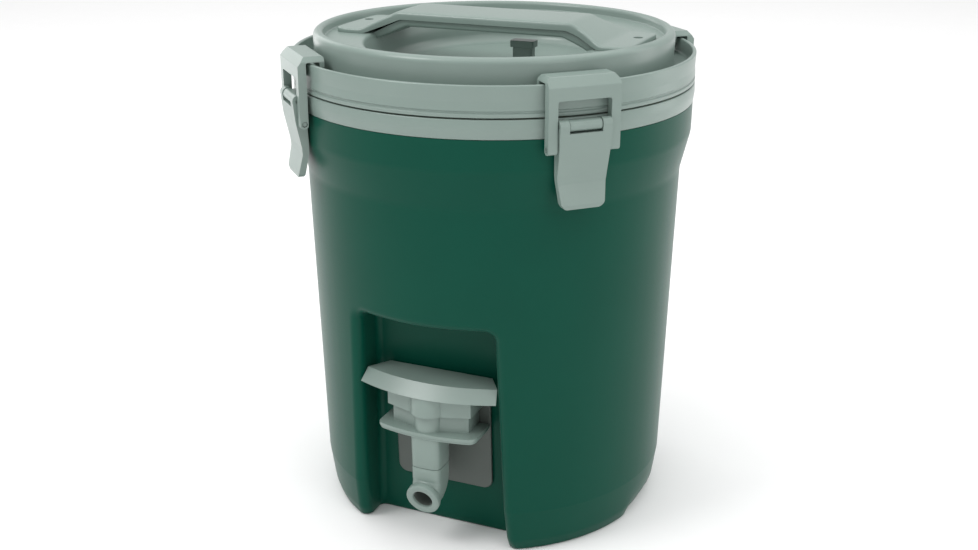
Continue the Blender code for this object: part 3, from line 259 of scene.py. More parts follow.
def cylinder(name, radius, start, end, steps=64):
    start, end = Vector(start), Vector(end)
    turn = (end - start).to_track_quat("Z", "Y").to_matrix()
    angles = [2 * math.pi * i / steps for i in range(steps)]
    spokes = [turn @ Vector((radius * math.cos(a), radius * math.sin(a), 0)) for a in angles]
    return loft(name, [[tuple(centre + spoke) for spoke in spokes] for centre in (start, end)])


def block(name, low, high):
    (x0, y0, z0), (x1, y1, z1) = low, high
    return prism(name, [(x0, y0), (x1, y0), (x1, y1), (x0, y1)], z0, z1, "Z")


def cut(piece, other, operation="DIFFERENCE"):
    """Joins or cuts two pieces, and removes the second."""
    modifier = piece.modifiers.new("Cut", "BOOLEAN")
    modifier.operation = operation
    modifier.solver = "EXACT"
    modifier.object = other
    settle(piece)
    bpy.data.objects.remove(other, do_unlink=True)
    return piece


def settle(piece):
    """Applies a piece's modifiers."""
    bpy.context.view_layer.update()
    graph = bpy.context.evaluated_depsgraph_get()
    mesh = bpy.data.meshes.new_from_object(piece.evaluated_get(graph))
    piece.modifiers.clear()
    piece.data = mesh
    return piece


def clean(piece):
    """Merges the doubled points and dissolves the flat edges that Booleans leave."""
    bm = bmesh.new()
    bm.from_mesh(piece.data)
    bmesh.ops.remove_doubles(bm, verts=bm.verts, dist=2e-6)
    bmesh.ops.dissolve_limit(bm, angle_limit=math.radians(0.3), verts=bm.verts, edges=bm.edges)
    bm.to_mesh(piece.data)
    bm.free()
    return piece


def soften(piece, width, segments=3, angle=32.0):
    """Rounds the edges sharper than an angle."""
    clean(piece)
    modifier = piece.modifiers.new("Soften", "BEVEL")
    modifier.width = width * MM
    modifier.segments = segments
    modifier.limit_method = "ANGLE"
    modifier.angle_limit = math.radians(angle)
    modifier.use_clamp_overlap = True
    modifier.harden_normals = False
    settle(piece)
    weighted = piece.modifiers.new("Weighted", "WEIGHTED_NORMAL")
    weighted.keep_sharp = True
    return piece


def finish_piece(piece, look, body, *nodes):
    """Gives a piece its look, its body and the CAD nodes that it stands for."""
    mesh = piece.data
    mesh.materials.clear()
    mesh.materials.append(look)
    mesh.shade_smooth()
    mesh.set_sharp_from_angle(angle=math.radians(SHARP_ANGLE))
    if piece.modifiers:
        settle(piece)
    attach(piece, body)
    if nodes:
        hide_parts(*nodes)
    return piece


# ---------------------------------------------------------------- shell

SHELL_CORNERS = [
    (100.0, 0.0),
    (103.3, 0.0),
    (105.7, 7.0),
    (108.65, 28.0),
    (113.75, 216.0),
    (119.15, 238.5),
    (119.4, 256.3),
]
SHELL_RADII = [0, 2.0, 16.0, 9.0, 22.0, 16.0, 0]
SHELL_WALL = 3.0
ALCOVE_HALF = 46.3
ALCOVE_DRAFT = 0.031
ALCOVE_CEILING = 144.4
ALCOVE_CORNER = 6.5
ALCOVE_BACK = -73.0
ALCOVE_LEAN = 0.05
LIP_RADIUS = 4.8
BACK_RADIUS = 4.0
PATCH_ANGLE = 35.0
PATCH_TOP = 176.0
PATCH_COLUMNS = 28
SIDE_COLUMNS = 116
LEVEL_STEP = 7.0
SCOOP_DEPTH = 2.8
SCOOP_HEIGHT = 15.0
SCOOP_AZIMUTHS = (74.0, 102.0)

shell_outline = rounded(SHELL_CORNERS, SHELL_RADII, 10, closed=False)


def shell_levels():
    """Every height at which the shell's outline bends, with steps between, the patch's top among them."""
    heights = sorted({round(z, 5) for _, z in shell_outline} | {PATCH_TOP, ALCOVE_CEILING - ALCOVE_CORNER})
    levels = [heights[0]]
    for low, high in zip(heights, heights[1:]):
        if high - low < 0.02:
            continue
        parts = max(1, round((high - low) / LEVEL_STEP))
        levels += [low + (high - low) * i / parts for i in range(1, parts + 1)]
    return levels


OUTLINE_Z = [z for _, z in shell_outline[1:]]
OUTLINE_R = [r for r, _ in shell_outline[1:]]


def smooth_step(low, high, value):
    t = min(1.0, max(0.0, (value - low) / (high - low)))
    return t * t * (3 - 2 * t)


def scoop(azimuth, z):
    """How far the lifting scoops under the two sides draw the surface in."""
    if z > SCOOP_HEIGHT:
        return 0.0
    turn = abs(azimuth)
    low, high = SCOOP_AZIMUTHS
    wide = smooth_step(low, low + 7, turn) * (1 - smooth_step(high - 7, high, turn))
    return SCOOP_DEPTH * wide * (1 - smooth_step(0, SCOOP_HEIGHT, z))


def shell_radius(z, azimuth=0.0):
    return float(np.interp(z, OUTLINE_Z, OUTLINE_R)) - scoop(azimuth, z)


def on_shell(azimuth, z):
    """The point of the shell at an angle in degrees from the tap, and a height."""
    r = shell_radius(z, azimuth)
    a = math.radians(azimuth)
    return (r * math.sin(a), -r * math.cos(a), z)


def base_ease(z):
    """How far the rounded bottom edge eats into a wall at a height."""
    edge = SHELL_RADII[1]
    return edge - math.sqrt(max(0.0, edge**2 - (edge - z) ** 2)) if z < edge else 0.0


def alcove_half(z):
    return ALCOVE_HALF - ALCOVE_DRAFT * z


def alcove_outline(levels):
    """Points and outward directions round the alcove's wall, from its left foot over to its right foot."""
    turn_z = ALCOVE_CEILING - ALCOVE_CORNER
    left = []
    for z in levels:
        if z <= turn_z + 1e-6:
            left.append(((-alcove_half(z) - base_ease(z), z), (-1.0, 0.0)))
    more = len([z for z in levels if turn_z + 1e-6 < z <= PATCH_TOP + 1e-6])
    centre = (-alcove_half(turn_z) + ALCOVE_CORNER, turn_z)

    def on_corner(degrees):
        a = math.radians(degrees)
        n = (math.cos(a), math.sin(a))
        return ((centre[0] + ALCOVE_CORNER * n[0], centre[1] + ALCOVE_CORNER * n[1]), n)

    for k in range(1, more + 1):
        left.append(on_corner(180 - 45 * k / more))
    bend = 4
    top = [on_corner(135 - 45 * k / bend) for k in range(1, bend + 1)]
    straight = PATCH_COLUMNS - 2 * bend
    for k in range(1, straight // 2 + 1):
        top.append(((centre[0] * (1 - 2 * k / straight), ALCOVE_CEILING), (0.0, 1.0)))
    half = left + top
    mirrored = [((-x, z), (-nx, nz)) for (x, z), (nx, nz) in reversed(half[:-1])]
    return half + mirrored, len(left)


def make_shell():
    levels = shell_levels()
    patch_levels = [z for z in levels if z <= PATCH_TOP + 1e-6]
    outline, side_count = alcove_outline(levels)
    count = len(outline)
    columns = [-PATCH_ANGLE + 2 * PATCH_ANGLE * k / PATCH_COLUMNS for k in range(PATCH_COLUMNS + 1)]
    border = [(-PATCH_ANGLE, z) for z in patch_levels]
    border += [(a, PATCH_TOP) for a in columns[1:-1]]
    border += [(PATCH_ANGLE, z) for z in reversed(patch_levels)]

    lip_centres, radials = [], []
    for (x, z), (nx, nz) in outline:
        cx, cz = x + LIP_RADIUS * nx, z + LIP_RADIUS * nz
        r = shell_radius(cz) - LIP_RADIUS
        lip_centres.append(Vector((cx, -math.sqrt(r * r - cx * cx), cz)))
        radials.append(Vector((cx, -math.sqrt(r * r - cx * cx), 0)).normalized())

    rows = []
    spread = 8
    for step in range(spread):
        share = step / spread
        share = 1 - (1 - share) ** 1.3
        row = []
        for i in range(count):
            c = lip_centres[i]
            inner_angle = math.degrees(math.atan2(c.x, -c.y))
            angle, z = border[i]
            row.append(on_shell(angle + (inner_angle - angle) * share, z + (c.z - z) * share))
        rows.append(row)
    lip_steps = 8
    for step in range(lip_steps + 1):
        row = []
        for i in range(count):
            wall = Vector((-outline[i][1][0], 0, -outline[i][1][1]))
            full = radials[i].angle(wall)
            t = step / lip_steps
            n = (radials[i] * math.sin((1 - t) * full) + wall * math.sin(t * full)) / math.sin(full)
            row.append(tuple(lip_centres[i] + LIP_RADIUS * n))
        rows.append(row)

    def back_y(z):
        return ALCOVE_BACK - ALCOVE_LEAN * z + base_ease(z)

    wall_steps = 4
    starts = rows[-1]
    fillet = []
    fillet_steps = 8
    for step in range(fillet_steps + 1):
        phi = math.pi / 2 * step / fillet_steps
        row = []
        for (x, z), (nx, nz) in outline:
            cx, cz = x - BACK_RADIUS * nx, z - BACK_RADIUS * nz
            cy = back_y(cz) - BACK_RADIUS
            row.append(
                (
                    cx + BACK_RADIUS * nx * math.cos(phi),
                    cy + BACK_RADIUS * math.sin(phi),
                    cz + BACK_RADIUS * nz * math.cos(phi),
                )
            )
        fillet.append(row)
    for step in range(1, wall_steps):
        t = step / wall_steps
        rows.append([tuple(Vector(a).lerp(Vector(b), t)) for a, b in zip(starts, fillet[0])])
    rows += fillet

    vertices = [point for row in rows for point in row]
    faces = []
    for k in range(len(rows) - 1):
        for i in range(count - 1):
            a, b = k * count + i, (k + 1) * count + i
            faces.append((a, a + 1, b + 1, b))
    inner = (len(rows) - 1) * count
    across = side_count
    for i in range(across - 1):
        faces.append((inner + i, inner + i + 1, inner + count - 2 - i, inner + count - 1 - i))
    faces.append(tuple(range(inner + across - 1, inner + count - across + 1)))
    patch_foot = [k * count for k in range(len(rows))]
    patch_foot += [k * count + count - 1 for k in reversed(range(len(rows)))]

    around = [PATCH_ANGLE + (360 - 2 * PATCH_ANGLE) * k / SIDE_COLUMNS for k in range(SIDE_COLUMNS + 1)]
    start = len(vertices)
    for z in levels:
        vertices += [on_shell(a if a <= 180 else a - 360, z) for a in around]
    width = len(around)
    for j in range(len(levels) - 1):
        for i in range(width - 1):
            a, b = start + j * width + i, start + (j + 1) * width + i
            faces.append((a, a + 1, b + 1, b))
    base_loop = [start + i for i in range(width)]

    upper = [z for z in levels if z >= PATCH_TOP - 1e-6]
    top_start = len(vertices)
    for z in upper:
        vertices += [on_shell(a, z) for a in columns]
    width = len(columns)
    for j in range(len(upper) - 1):
        for i in range(width - 1):
            a, b = top_start + j * width + i, top_start + (j + 1) * width + i
            faces.append((a, a + 1, b + 1, b))

    base = base_loop[:-1] + patch_foot
    faces.append(tuple(base))
    shell = mesh_piece("shell", vertices, faces)
    return shell


def skin_solid(piece, thickness):
    """Gives an open skin its wall, inwards."""
    solid = piece.modifiers.new("Wall", "SOLIDIFY")
    solid.thickness = thickness * MM
    solid.offset = -1.0
    solid.use_even_offset = False
    return settle(piece)


shell = make_shell()
finish_piece(skin_solid(shell, SHELL_WALL - 0.2), GREEN, "jug", "outer_shell")


# ---------------------------------------------------------------- collar

COLLAR_OUTLINE = rounded(
    [
        (112.3, 266.9),
        (119.9, 267.3),
        (120.2, 262.0),
        (119.5, 256.5),
        (112.3, 256.5),
        (112.3, 258.7),
        (88.0, 258.7),
        (88.0, 263.0),
        (112.3, 263.0),
    ],
    [0.4, 0.8, 12.0, 0.5, 0.4, 0, 0.5, 0.5, 0],
    5,
)


def in_latch_frame(piece, angle):
    """Turns a piece made facing -Y to its place round the collar."""
    piece.data.transform(Matrix.Rotation(math.radians(angle), 4, "Z"))
    return piece


def side_view(points):
    return [(-out, z) for out, z in points]


LEVER_PIVOT = (124.5, 264.0)
HOOK_PIVOT = (122.8, 251.8)
BARREL = 3.05
BARREL_HALF = 9.3


def bracket(name):
    """The lug and barrel that hold a lever's pin."""
    out, z = LEVER_PIVOT
    nose = arc(LEVER_PIVOT, BARREL, -125, 125, 20)
    outline = [(117.0, z - 2.6)] + nose + [(117.0, z + 2.6)]
    made = prism(name, side_view(outline), -BARREL_HALF, BARREL_HALF, "X")
    bore = cylinder(name + "_bore", 1.6, (-20, -out, z), (20, -out, z), 32)
    return cut(made, bore)


finish_piece(turned("collar_ring", COLLAR_OUTLINE), GREY, "jug", "collar")
for latch_name, latch_angle in LATCHES.items():
    lug = soften(bracket("collar_bracket_" + latch_name), 0.35)
    finish_piece(in_latch_frame(lug, latch_angle), GREY, "jug", "collar")


# ---------------------------------------------------------------- lid

BOWL_SEMI = (70.5, 91.0)
BOWL_POWER = 2.1
BOWL_FLOOR = 272.0
DECK = 291.5
LID_STEPS = 240


def bowl_edge(angle, grow):
    """The bowl's radius at an angle, a superellipse grown all round."""
    a, b = BOWL_SEMI[0] + grow, BOWL_SEMI[1] + grow
    c, s = abs(math.cos(angle)), abs(math.sin(angle))
    return ((c / a) ** BOWL_POWER + (s / b) ** BOWL_POWER) ** (-1 / BOWL_POWER)


def lid_rings():
    """(grow or radius, z, follows the bowl) for each ring, from the bowl's middle to the underside."""
    bowl = [(-40.0, BOWL_FLOOR), (-9.0, BOWL_FLOOR)]
    bowl += arc((-9.0, BOWL_FLOOR + 7.0), 7.0, -85, -6, 8)
    wall = DECK - BOWL_FLOOR - 10
    bowl += [(-0.2 - 2.2 * (1 - t), BOWL_FLOOR + 7 + wall * t) for t in (0.15, 0.5, 0.85, 1.0)]
    bowl += arc((2.6, DECK - 2.6), 2.6, 175, 90, 7)
    bowl += [(3.6, DECK)]
    deck = rounded(
        [
            (98.4, DECK),
            (101.1, DECK),
            (101.5, 296.9),
            (107.4, 296.9),
            (107.0, 276.0),
            (117.4, 276.0),
            (117.6, 285.2),
            (120.0, 285.2),
            (119.6, 276.5),
            (119.95, 271.9),
            (119.2, 271.3),
            (119.2, 270.6),
            (119.95, 270.0),
            (119.9, 268.1),
            (116.9, 268.1),
            (116.7, 273.3),
            (105.0, 273.3),
            (104.6, 288.9),
        ],
        [0, 0.9, 2.6, 3.6, 2.2, 1.6, 0.9, 0.9, 8.0, 0.3, 0.15, 0.15, 0.3, 0.5, 0.4, 1, 1, 0],
        6,
        closed=False,
    )
    under = [(3.4, 288.9), (2.6, 286.5), (0.4, 277.0), (-3.0, 271.0), (-8.0, 269.4), (-40.0, 269.4)]
    made = [(g, z, True) for g, z in bowl]
    made += [(r, z, False) for r, z in deck]
    made += [(g, z, True) for g, z in under]
    return made


def make_lid():
    angles = [2 * math.pi * i / LID_STEPS for i in range(LID_STEPS)]
    rings = []
    for size, z, with_bowl in lid_rings():
        rings.append(
            [
                (
                    (bowl_edge(a, size) if with_bowl else size) * math.cos(a),
                    (bowl_edge(a, size) if with_bowl else size) * math.sin(a),
                    z,
                )
                for a in angles
            ]
        )
    return loft("lid", rings)


finish_piece(make_lid(), GREY, "jug", "lid_shell")


# ---------------------------------------------------------------- handle

BAR_TOP = 304.5
BAR_END = 55.0
RAMP_FOOT = 76.0
PAD_TOP = 294.2
PAD_END = 93.5
TOP_SHELL = 4.6
BAR_HALF = 20.0
PAD_HALF = 28.5
HANDLE_STEP = 1.5
SEAT_GAP = 0.1
UNDER_LEAN = 2.4
PAD_CORNER = 7.0
PAD_EDGE = 1.1
PAD_CROWN = 0.25
GRIP_DEPTH = 4.3
GRIP_REACH = RAMP_FOOT - 6.0
GRIP_INSET = 1.6


def stations(end):
    """Distances along X, closer together near the two ends."""
    near = [0, 0.15, 0.5, 1.2, 2.2, 3.5, 5.0, 7.0]
    inner = end - near[-1]
    steps = int(2 * inner / HANDLE_STEP)
    middle = [-inner + 2 * inner * i / steps for i in range(1, steps)]
    return [-end + d for d in near] + middle + [end - d for d in reversed(near)]


def smooth_line(points, radii, steps=10):
    line = rounded(points, radii, steps, closed=False)
    return [x for x, _ in line], [z for _, z in line]


def section(half, low, high, top_radius, foot_radius, crown=0.0, steps=6):
    """A handle's cross-section as (y, z), rounded above and below, its top crowned."""
    flat = half - top_radius
    left_foot, right_foot = [(-half, low)], [(half, low)]
    if foot_radius:
        left_foot = arc((foot_radius - half, low + foot_radius), foot_radius, 270, 180, 3)
        right_foot = arc((half - foot_radius, low + foot_radius), foot_radius, 0, -90, 3)
    made = left_foot + arc((-flat, high - top_radius), top_radius, 180, 90, steps)
    across = [flat * (-0.75 + 0.25 * i) for i in range(7)]
    made += [(y, high + crown * (1 - (y / flat) ** 2)) for y in across]
    return made + arc((flat, high - top_radius), top_radius, 90, 0, steps) + right_foot


def make_handle_top():
    top_x, top_z = smooth_line(
        [
            (-PAD_END, PAD_TOP),
            (-RAMP_FOOT, PAD_TOP),
            (-BAR_END, BAR_TOP),
            (BAR_END, BAR_TOP),
            (RAMP_FOOT, PAD_TOP),
            (PAD_END, PAD_TOP),
        ],
        [0, 7.0, 9.0, 9.0, 7.0, 0],
    )
    seat = DECK + SEAT_GAP
    foot_x, foot_z = smooth_line(
        [
            (-PAD_END, seat),
            (-RAMP_FOOT + UNDER_LEAN, seat),
            (-BAR_END + UNDER_LEAN, BAR_TOP - TOP_SHELL),
            (BAR_END - UNDER_LEAN, BAR_TOP - TOP_SHELL),
            (RAMP_FOOT - UNDER_LEAN, seat),
            (PAD_END, seat),
        ],
        [0, 4.0, 6.0, 6.0, 4.0, 0],
    )
    rings = []
    for x in stations(PAD_END):
        flare = smooth_step(BAR_END + 2, RAMP_FOOT + 1, abs(x))
        half = BAR_HALF + (PAD_HALF - BAR_HALF) * flare
        from_end = PAD_END - abs(x)
        if from_end < PAD_CORNER:
            half -= PAD_CORNER - math.sqrt(PAD_CORNER**2 - (PAD_CORNER - from_end) ** 2)
        high = float(np.interp(x, top_x, top_z))
        low = float(np.interp(x, foot_x, foot_z))
        drop = 0.0
        if from_end < PAD_EDGE:
            drop = PAD_EDGE - math.sqrt(PAD_EDGE**2 - (PAD_EDGE - from_end) ** 2)
        edge = min(2.2, (high - drop - low) * 0.62)
        rings.append([(x, y, z) for y, z in section(half, low, high - drop, edge, 0.0, PAD_CROWN)])
    return loft("handle_grip", rings)


def make_handle_underside():
    upper_x, upper_z = smooth_line(
        [
            (-RAMP_FOOT + 5.0, DECK - 0.5),
            (-BAR_END + UNDER_LEAN, BAR_TOP - TOP_SHELL + 0.02),
            (BAR_END - UNDER_LEAN, BAR_TOP - TOP_SHELL + 0.02),
            (RAMP_FOOT - 5.0, DECK - 0.5),
        ],
        [0, 6.0, 6.0, 0],
    )
    lower_x, lower_z = smooth_line(
        [
            (-GRIP_REACH, DECK - 3.5),
            (-RAMP_FOOT + 8.5, DECK - 3.5),
            (-BAR_END + 5.5, BAR_TOP - TOP_SHELL - GRIP_DEPTH),
            (BAR_END - 5.5, BAR_TOP - TOP_SHELL - GRIP_DEPTH),
            (RAMP_FOOT - 8.5, DECK - 3.5),
            (GRIP_REACH, DECK - 3.5),
        ],
        [0, 0, 8.0, 8.0, 0, 0],
    )
    rings = []
    for x in stations(GRIP_REACH):
        high = float(np.interp(x, upper_x, upper_z))
        low = float(np.interp(x, lower_x, lower_z))
        low = min(low, high - 1.0)
        half = BAR_HALF - GRIP_INSET + 3.0 * smooth_step(BAR_END, RAMP_FOOT, abs(x))
        foot = min(1.6, (high - low) * 0.4)
        rings.append([(x, y, z) for y, z in section(half, low, high, 0.3, foot, 0.0, 2)])
    return loft("handle_liner", rings)


finish_piece(make_handle_underside(), GREY, "jug", "handle_underside")
handle = make_handle_top()
SCREW_X, SCREW_Y = 87.5, 6.0
PAD_HOLE = 2.9
SCREW_FOOT = DECK + 0.6
SCREW_OUTLINE = rounded(
    [
        (0.001, PAD_TOP - 0.9),
        (2.1, PAD_TOP - 0.9),
        (2.6, PAD_TOP - 1.6),
        (2.6, SCREW_FOOT),
        (0.001, SCREW_FOOT),
    ],
    [0, 0.5, 0.3, 0, 0],
    4,
)
BIT_HALF_LENGTH = 1.5
BIT_HALF_WIDTH = 0.45
for side_name, side_sign in (("left", -1), ("right", 1)):
    spot = side_sign * SCREW_X, SCREW_Y
    cut(handle, cylinder("pad_hole", PAD_HOLE, (*spot, DECK + 0.9), (*spot, BAR_TOP), 40))
    head = turned("screw_" + side_name, SCREW_OUTLINE, 48)
    head.data.transform(Matrix.Translation((spot[0] * MM, spot[1] * MM, 0)))
    for turn in (0, 90):
        low = (-BIT_HALF_LENGTH, -BIT_HALF_WIDTH, PAD_TOP - 1.7)
        bit = block("bit", low, (BIT_HALF_LENGTH, BIT_HALF_WIDTH, PAD_TOP))
        bit.data.transform(Matrix.Rotation(math.radians(turn + 20), 4, "Z"))
        bit.data.transform(Matrix.Translation((spot[0] * MM, spot[1] * MM, 0)))
        cut(head, bit)
    finish_piece(head, STEEL, "jug", "handle_screw_" + side_name)
finish_piece(handle, GREY, "jug", "handle_top")


# ---------------------------------------------------------------- vent

VENT_X, VENT_Y = 16.0, 8.0
VENT_CAP = (7.5, 4.5)
VENT_CAP_Z = (284.0, 288.0)
VENT_NECK = (6.2, 3.2)
VENT_NECK_Z = (274.3, 285.0)
VENT_STEM = 2.5
VENT_STEM_Z = (238.8, 275.0)


def rounded_bar(name, halves, radius, heights, steps):
    x, y = halves
    return prism(name, rounded([(-x, -y), (x, -y), (x, y), (-x, y)], radius, steps), *heights, "Z")


vent = rounded_bar("vent_cap", VENT_CAP, 1.4, VENT_CAP_Z, 5)
cut(vent, rounded_bar("vent_neck", VENT_NECK, 1.0, VENT_NECK_Z, 4), "UNION")
cut(vent, cylinder("vent_stem", VENT_STEM, (0, 0, VENT_STEM_Z[0]), (0, 0, VENT_STEM_Z[1]), 32), "UNION")
vent.data.transform(Matrix.Translation((VENT_X * MM, VENT_Y * MM, 0)))
finish_piece(soften(vent, 0.7, 3), GREY, "vent", "vent_plug")


# ---------------------------------------------------------------- latches

LEVER_FACE = [(127.7, 262.4), (126.7, 252.0), (123.6, 236.8), (123.3, 232.5), (125.9, 221.0), (125.6, 218.7)]
LEVER_BACK = [(122.6, 218.8), (121.9, 220.2), (119.5, 234.0), (119.5, 238.5), (120.2, 254.0), (121.6, 258.6)]
LEVER_SHEET = 2.2
PIN_BORE = 1.6
FRONT_NEAR, FRONT_FAR = -150, -90


def make_lever(name):
    ear = arc(LEVER_PIVOT, 3.4, 190, -10, 22)
    face = rounded(LEVER_FACE, [0, 30.0, 8.0, 5.0, 1.6, 0], 8, closed=False)
    lever = prism(name, side_view(ear + face + LEVER_BACK), -18, 18, "X")
    right = [(15.0, 275), (15.0, 258), (14.4, 236), (12.4, 218.6)]
    left = [(-x, z) for x, z in reversed(right)]
    front = rounded([left[-1]] + right + left[:-1], [0, 0, 20, 40, 4.5, 4.5, 40, 20], 8)
    cut(lever, prism("front", front, FRONT_NEAR, FRONT_FAR, "Y"), "INTERSECT")
    cut(lever, block("slot", (-9.6, FRONT_NEAR, 260.3), (9.6, FRONT_FAR, 275)))
    inner = [(127.2, 257.8), (126.6, 252.0), (123.6, 236.0), (123.5, 231.5), (124.1, 226.0)]
    inner = [(out - LEVER_SHEET, z) for out, z in inner]
    pocket = [(110.0, 257.8)] + inner + [(110.0, 226.0)]
    cut(lever, prism("pocket", side_view(pocket), -12.3, 12.3, "X"))
    for out, z in (LEVER_PIVOT, HOOK_PIVOT):
        cut(lever, cylinder("bore", PIN_BORE, (-25, -out, z), (25, -out, z), 32))
    return soften(lever, 0.55, 3)


def make_hook(name):
    outline = rounded(
        [
            (125.4, 248.9),
            (120.6, 248.9),
            (120.6, 286.2),
            (112.8, 286.2),
            (112.8, 283.2),
            (110.0, 283.2),
            (110.0, 289.4),
            (121.4, 289.4),
            (125.4, 284.3),
        ],
        [2.3, 2.3, 0.9, 0.7, 0.5, 0.6, 1.3, 1.2, 1.2],
        6,
    )
    hook = prism(name, side_view(outline), -24, 24, "X")
    front = rounded(
        [(-20.8, 220), (20.8, 220), (20.8, 286.6), (17.6, 290.5), (-17.6, 290.5), (-20.8, 286.6)],
        [0, 0, 1.5, 1.5, 1.5, 1.5],
        4,
    )
    cut(hook, prism("front", front, FRONT_NEAR, FRONT_FAR, "Y"), "INTERSECT")
    window = rounded([(-15.4, 220), (15.4, 220), (15.4, 277.3), (-15.4, 277.3)], [0, 0, 1.3, 1.3], 5)
    cut(hook, prism("window", window, FRONT_NEAR, FRONT_FAR, "Y"))
    out, z = HOOK_PIVOT
    cut(hook, cylinder("bore", PIN_BORE, (-25, -out, z), (25, -out, z), 32))
    return soften(hook, 0.6, 3)


for latch_name, latch_angle in LATCHES.items():
    lever = in_latch_frame(make_lever("lever_" + latch_name), latch_angle)
    finish_piece(lever, GREY, "lever_" + latch_name, "latch_lever_" + latch_name)
    hook = in_latch_frame(make_hook("hook_" + latch_name), latch_angle)
    finish_piece(hook, GREY, "hook_" + latch_name, "latch_hook_" + latch_name)


# ---------------------------------------------------------------- tap

TAP_Y = -97.5
TAP_BACK = -80.5
BLOCK_Z = (74.0, 94.0)
BLOCK_NOSE = 8.8
SKIRT_FOOT, SKIRT_TOP, SKIRT_INSIDE = 86.5, 103.8, 103.3
SKIRT_OUT, SKIRT_CLEARANCE = 2.3, 0.8
NOSE_TOP, NOSE_INSIDE = 99.5, 100.5
SPRING_SPACE = 5.4
PADDLE_FOOT, PADDLE_TOP = 98.9, 106.0
PADDLE_SHEET = 2.8


def lean_y(z):
    return ALCOVE_BACK - ALCOVE_LEAN * z


def make_plate():
    outline = rounded([(-31.5, 30.0), (31.5, 30.0), (31.5, 99.8), (-31.5, 99.8)], 6.0, 8)
    rings = [[(x, lean_y(z) - offset, z) for x, z in outline] for offset in (0.3, 2.3)]
    return soften(loft("tap_backplate", rings), 0.7, 3)


def block_plan(grow):
    half, nose = 24.5 + grow, BLOCK_NOSE + grow
    corner_y, nose_y = -95.6 - grow, -100.5 - grow
    left = [(-half, TAP_BACK), (-half, corner_y), (-nose, nose_y)]
    return left + [(-x, y) for x, y in reversed(left)]


def upright(name, radius, low, high, y=TAP_Y, steps=72):
    return cylinder(name, radius, (0, y, low), (0, y, high), steps)


def shelf_plan(shrink):
    half = 31.5 - shrink
    corner = -103.5 + shrink
    nose = -107.6 + shrink
    front = []
    for i in range(13):
        x = -half + 5.0 + (2 * half - 10.0) * i / 12
        t = x / (half - 5.0)
        front.append((x, corner - 0.9 + (nose - corner + 0.9) * (1 - t * t)))
    turn = arc((-half + 5.2, corner + 4.4), 5.2, 180, 256, 8)
    points = [(-half, TAP_BACK)] + turn + front[1:-1]
    return points + [(-x, y) for x, y in reversed(turn)] + [(half, TAP_BACK)]


def make_tap_block():
    body = prism("tap_valve_block", block_plan(0.0), *BLOCK_Z, "Z")
    cut(body, upright("nose", BLOCK_NOSE, *BLOCK_Z), "UNION")
    cut(body, prism("shelf_top", shelf_plan(0.0), 73.9, 75.8, "Z"), "UNION")
    soften(body, 0.5, 3)
    settle(body)
    return body


def make_shelf_foot():
    return soften(prism("tap_shelf_foot", shelf_plan(0.5), 72.2, 74.3, "Z"), 0.5, 3)


def tube_ring(y, z, tilt, half, squareness, steps=64):
    points = []
    for i in range(steps):
        turn = 2 * math.pi * (i + 0.5) / steps
        c, s = math.cos(turn), math.sin(turn)
        power = 2 + 2.6 * squareness
        swell = (abs(c) ** power + abs(s) ** power) ** (-1 / power)
        across, along = half * swell * c, half * swell * s
        points.append((across, y + along * math.cos(tilt), z - along * math.sin(tilt)))
    return points


def make_down_tube():
    sizes = ((73.0, 9.6), (60.0, 9.45), (52.5, 9.4), (52.15, 9.25))
    return loft("tap_tube", [tube_ring(ELBOW[0], z, 0.0, half, 1.0) for z, half in sizes])


NOZZLE_END = (-109.0, 32.7)
NOZZLE_TILT = math.radians(74.0)
ELBOW = (-96.5, 36.28)
BEND = 10.4
BORE = 6.2
NOZZLE_RIM = [(9.4, 4.9), (9.55, 4.6), (10.1, 4.2), (10.35, 3.8), (10.5, 3.2), (10.5, 0.9), (10.35, 0.4)]
NOZZLE_RIM += [(9.9, 0.05), (9.4, 0.0), (7.1, 0.0), (6.6, 0.15), (6.3, 0.5), (BORE, 1.0)]


def nozzle_spine():
    """(y, z, tilt, share of the bend) down the nozzle's middle, as far as its rim."""
    reach = BEND * math.tan(NOZZLE_TILT / 2)
    spine = [(ELBOW[0], z, 0.0, 0.0) for z in (51.85, 51.6, 49.0, 46.5)]
    start = (ELBOW[0], ELBOW[1] + reach)
    steps = 18
    for k in range(steps + 1):
        tilt = NOZZLE_TILT * k / steps
        y = start[0] - BEND * (1 - math.cos(tilt))
        z = start[1] - BEND * math.sin(tilt)
        spine.append((y, z, tilt, k / steps))
    return spine


def make_nozzle():
    """The elbow below the tube, squarish at its top and round at the rim that it ends in."""
    spine = nozzle_spine()
    rings = []
    for k, (y, z, tilt, share) in enumerate(spine):
        half = 9.4 - (0.18 if k == 0 else 0.0)
        rings.append(tube_ring(y, z, tilt, half, 1 - share))
    for half, back in NOZZLE_RIM:
        y, z = NOZZLE_END[0] + back * math.sin(NOZZLE_TILT), NOZZLE_END[1] + back * math.cos(NOZZLE_TILT)
        rings.append(tube_ring(y, z, NOZZLE_TILT, half, 0.0))
    for y, z, tilt, _ in reversed(spine[1:]):
        rings.append(tube_ring(y, z, tilt, BORE, 0.0))
    return loft("tap_nozzle", rings, ring_loop=True)


def make_painted_shade_sleeve():
    """Painted shade inside the nozzle: a thin sleeve in the dark material that starts a little behind the rim,
    standing in for the shadow in the bore.
    """
    first = NOZZLE_END[0] + 2.0 * math.sin(NOZZLE_TILT), NOZZLE_END[1] + 2.0 * math.cos(NOZZLE_TILT)
    spots = [(*first, NOZZLE_TILT)] + [spot[:3] for spot in reversed(nozzle_spine()[2:])]
    rings = [tube_ring(*spot, BORE - 0.05, 0.0) for spot in spots]
    rings += [tube_ring(*spot, BORE - 0.35, 0.0) for spot in reversed(spots)]
    return loft("tap_bore_painted_shade", rings, ring_loop=True)


def bow(corner, nose_y, steps=28):
    x, y = corner
    rise = y - nose_y
    return [(x * (1 - 2 * i / steps), y - rise * (1 - (1 - 2 * i / steps) ** 2)) for i in range(steps + 1)]


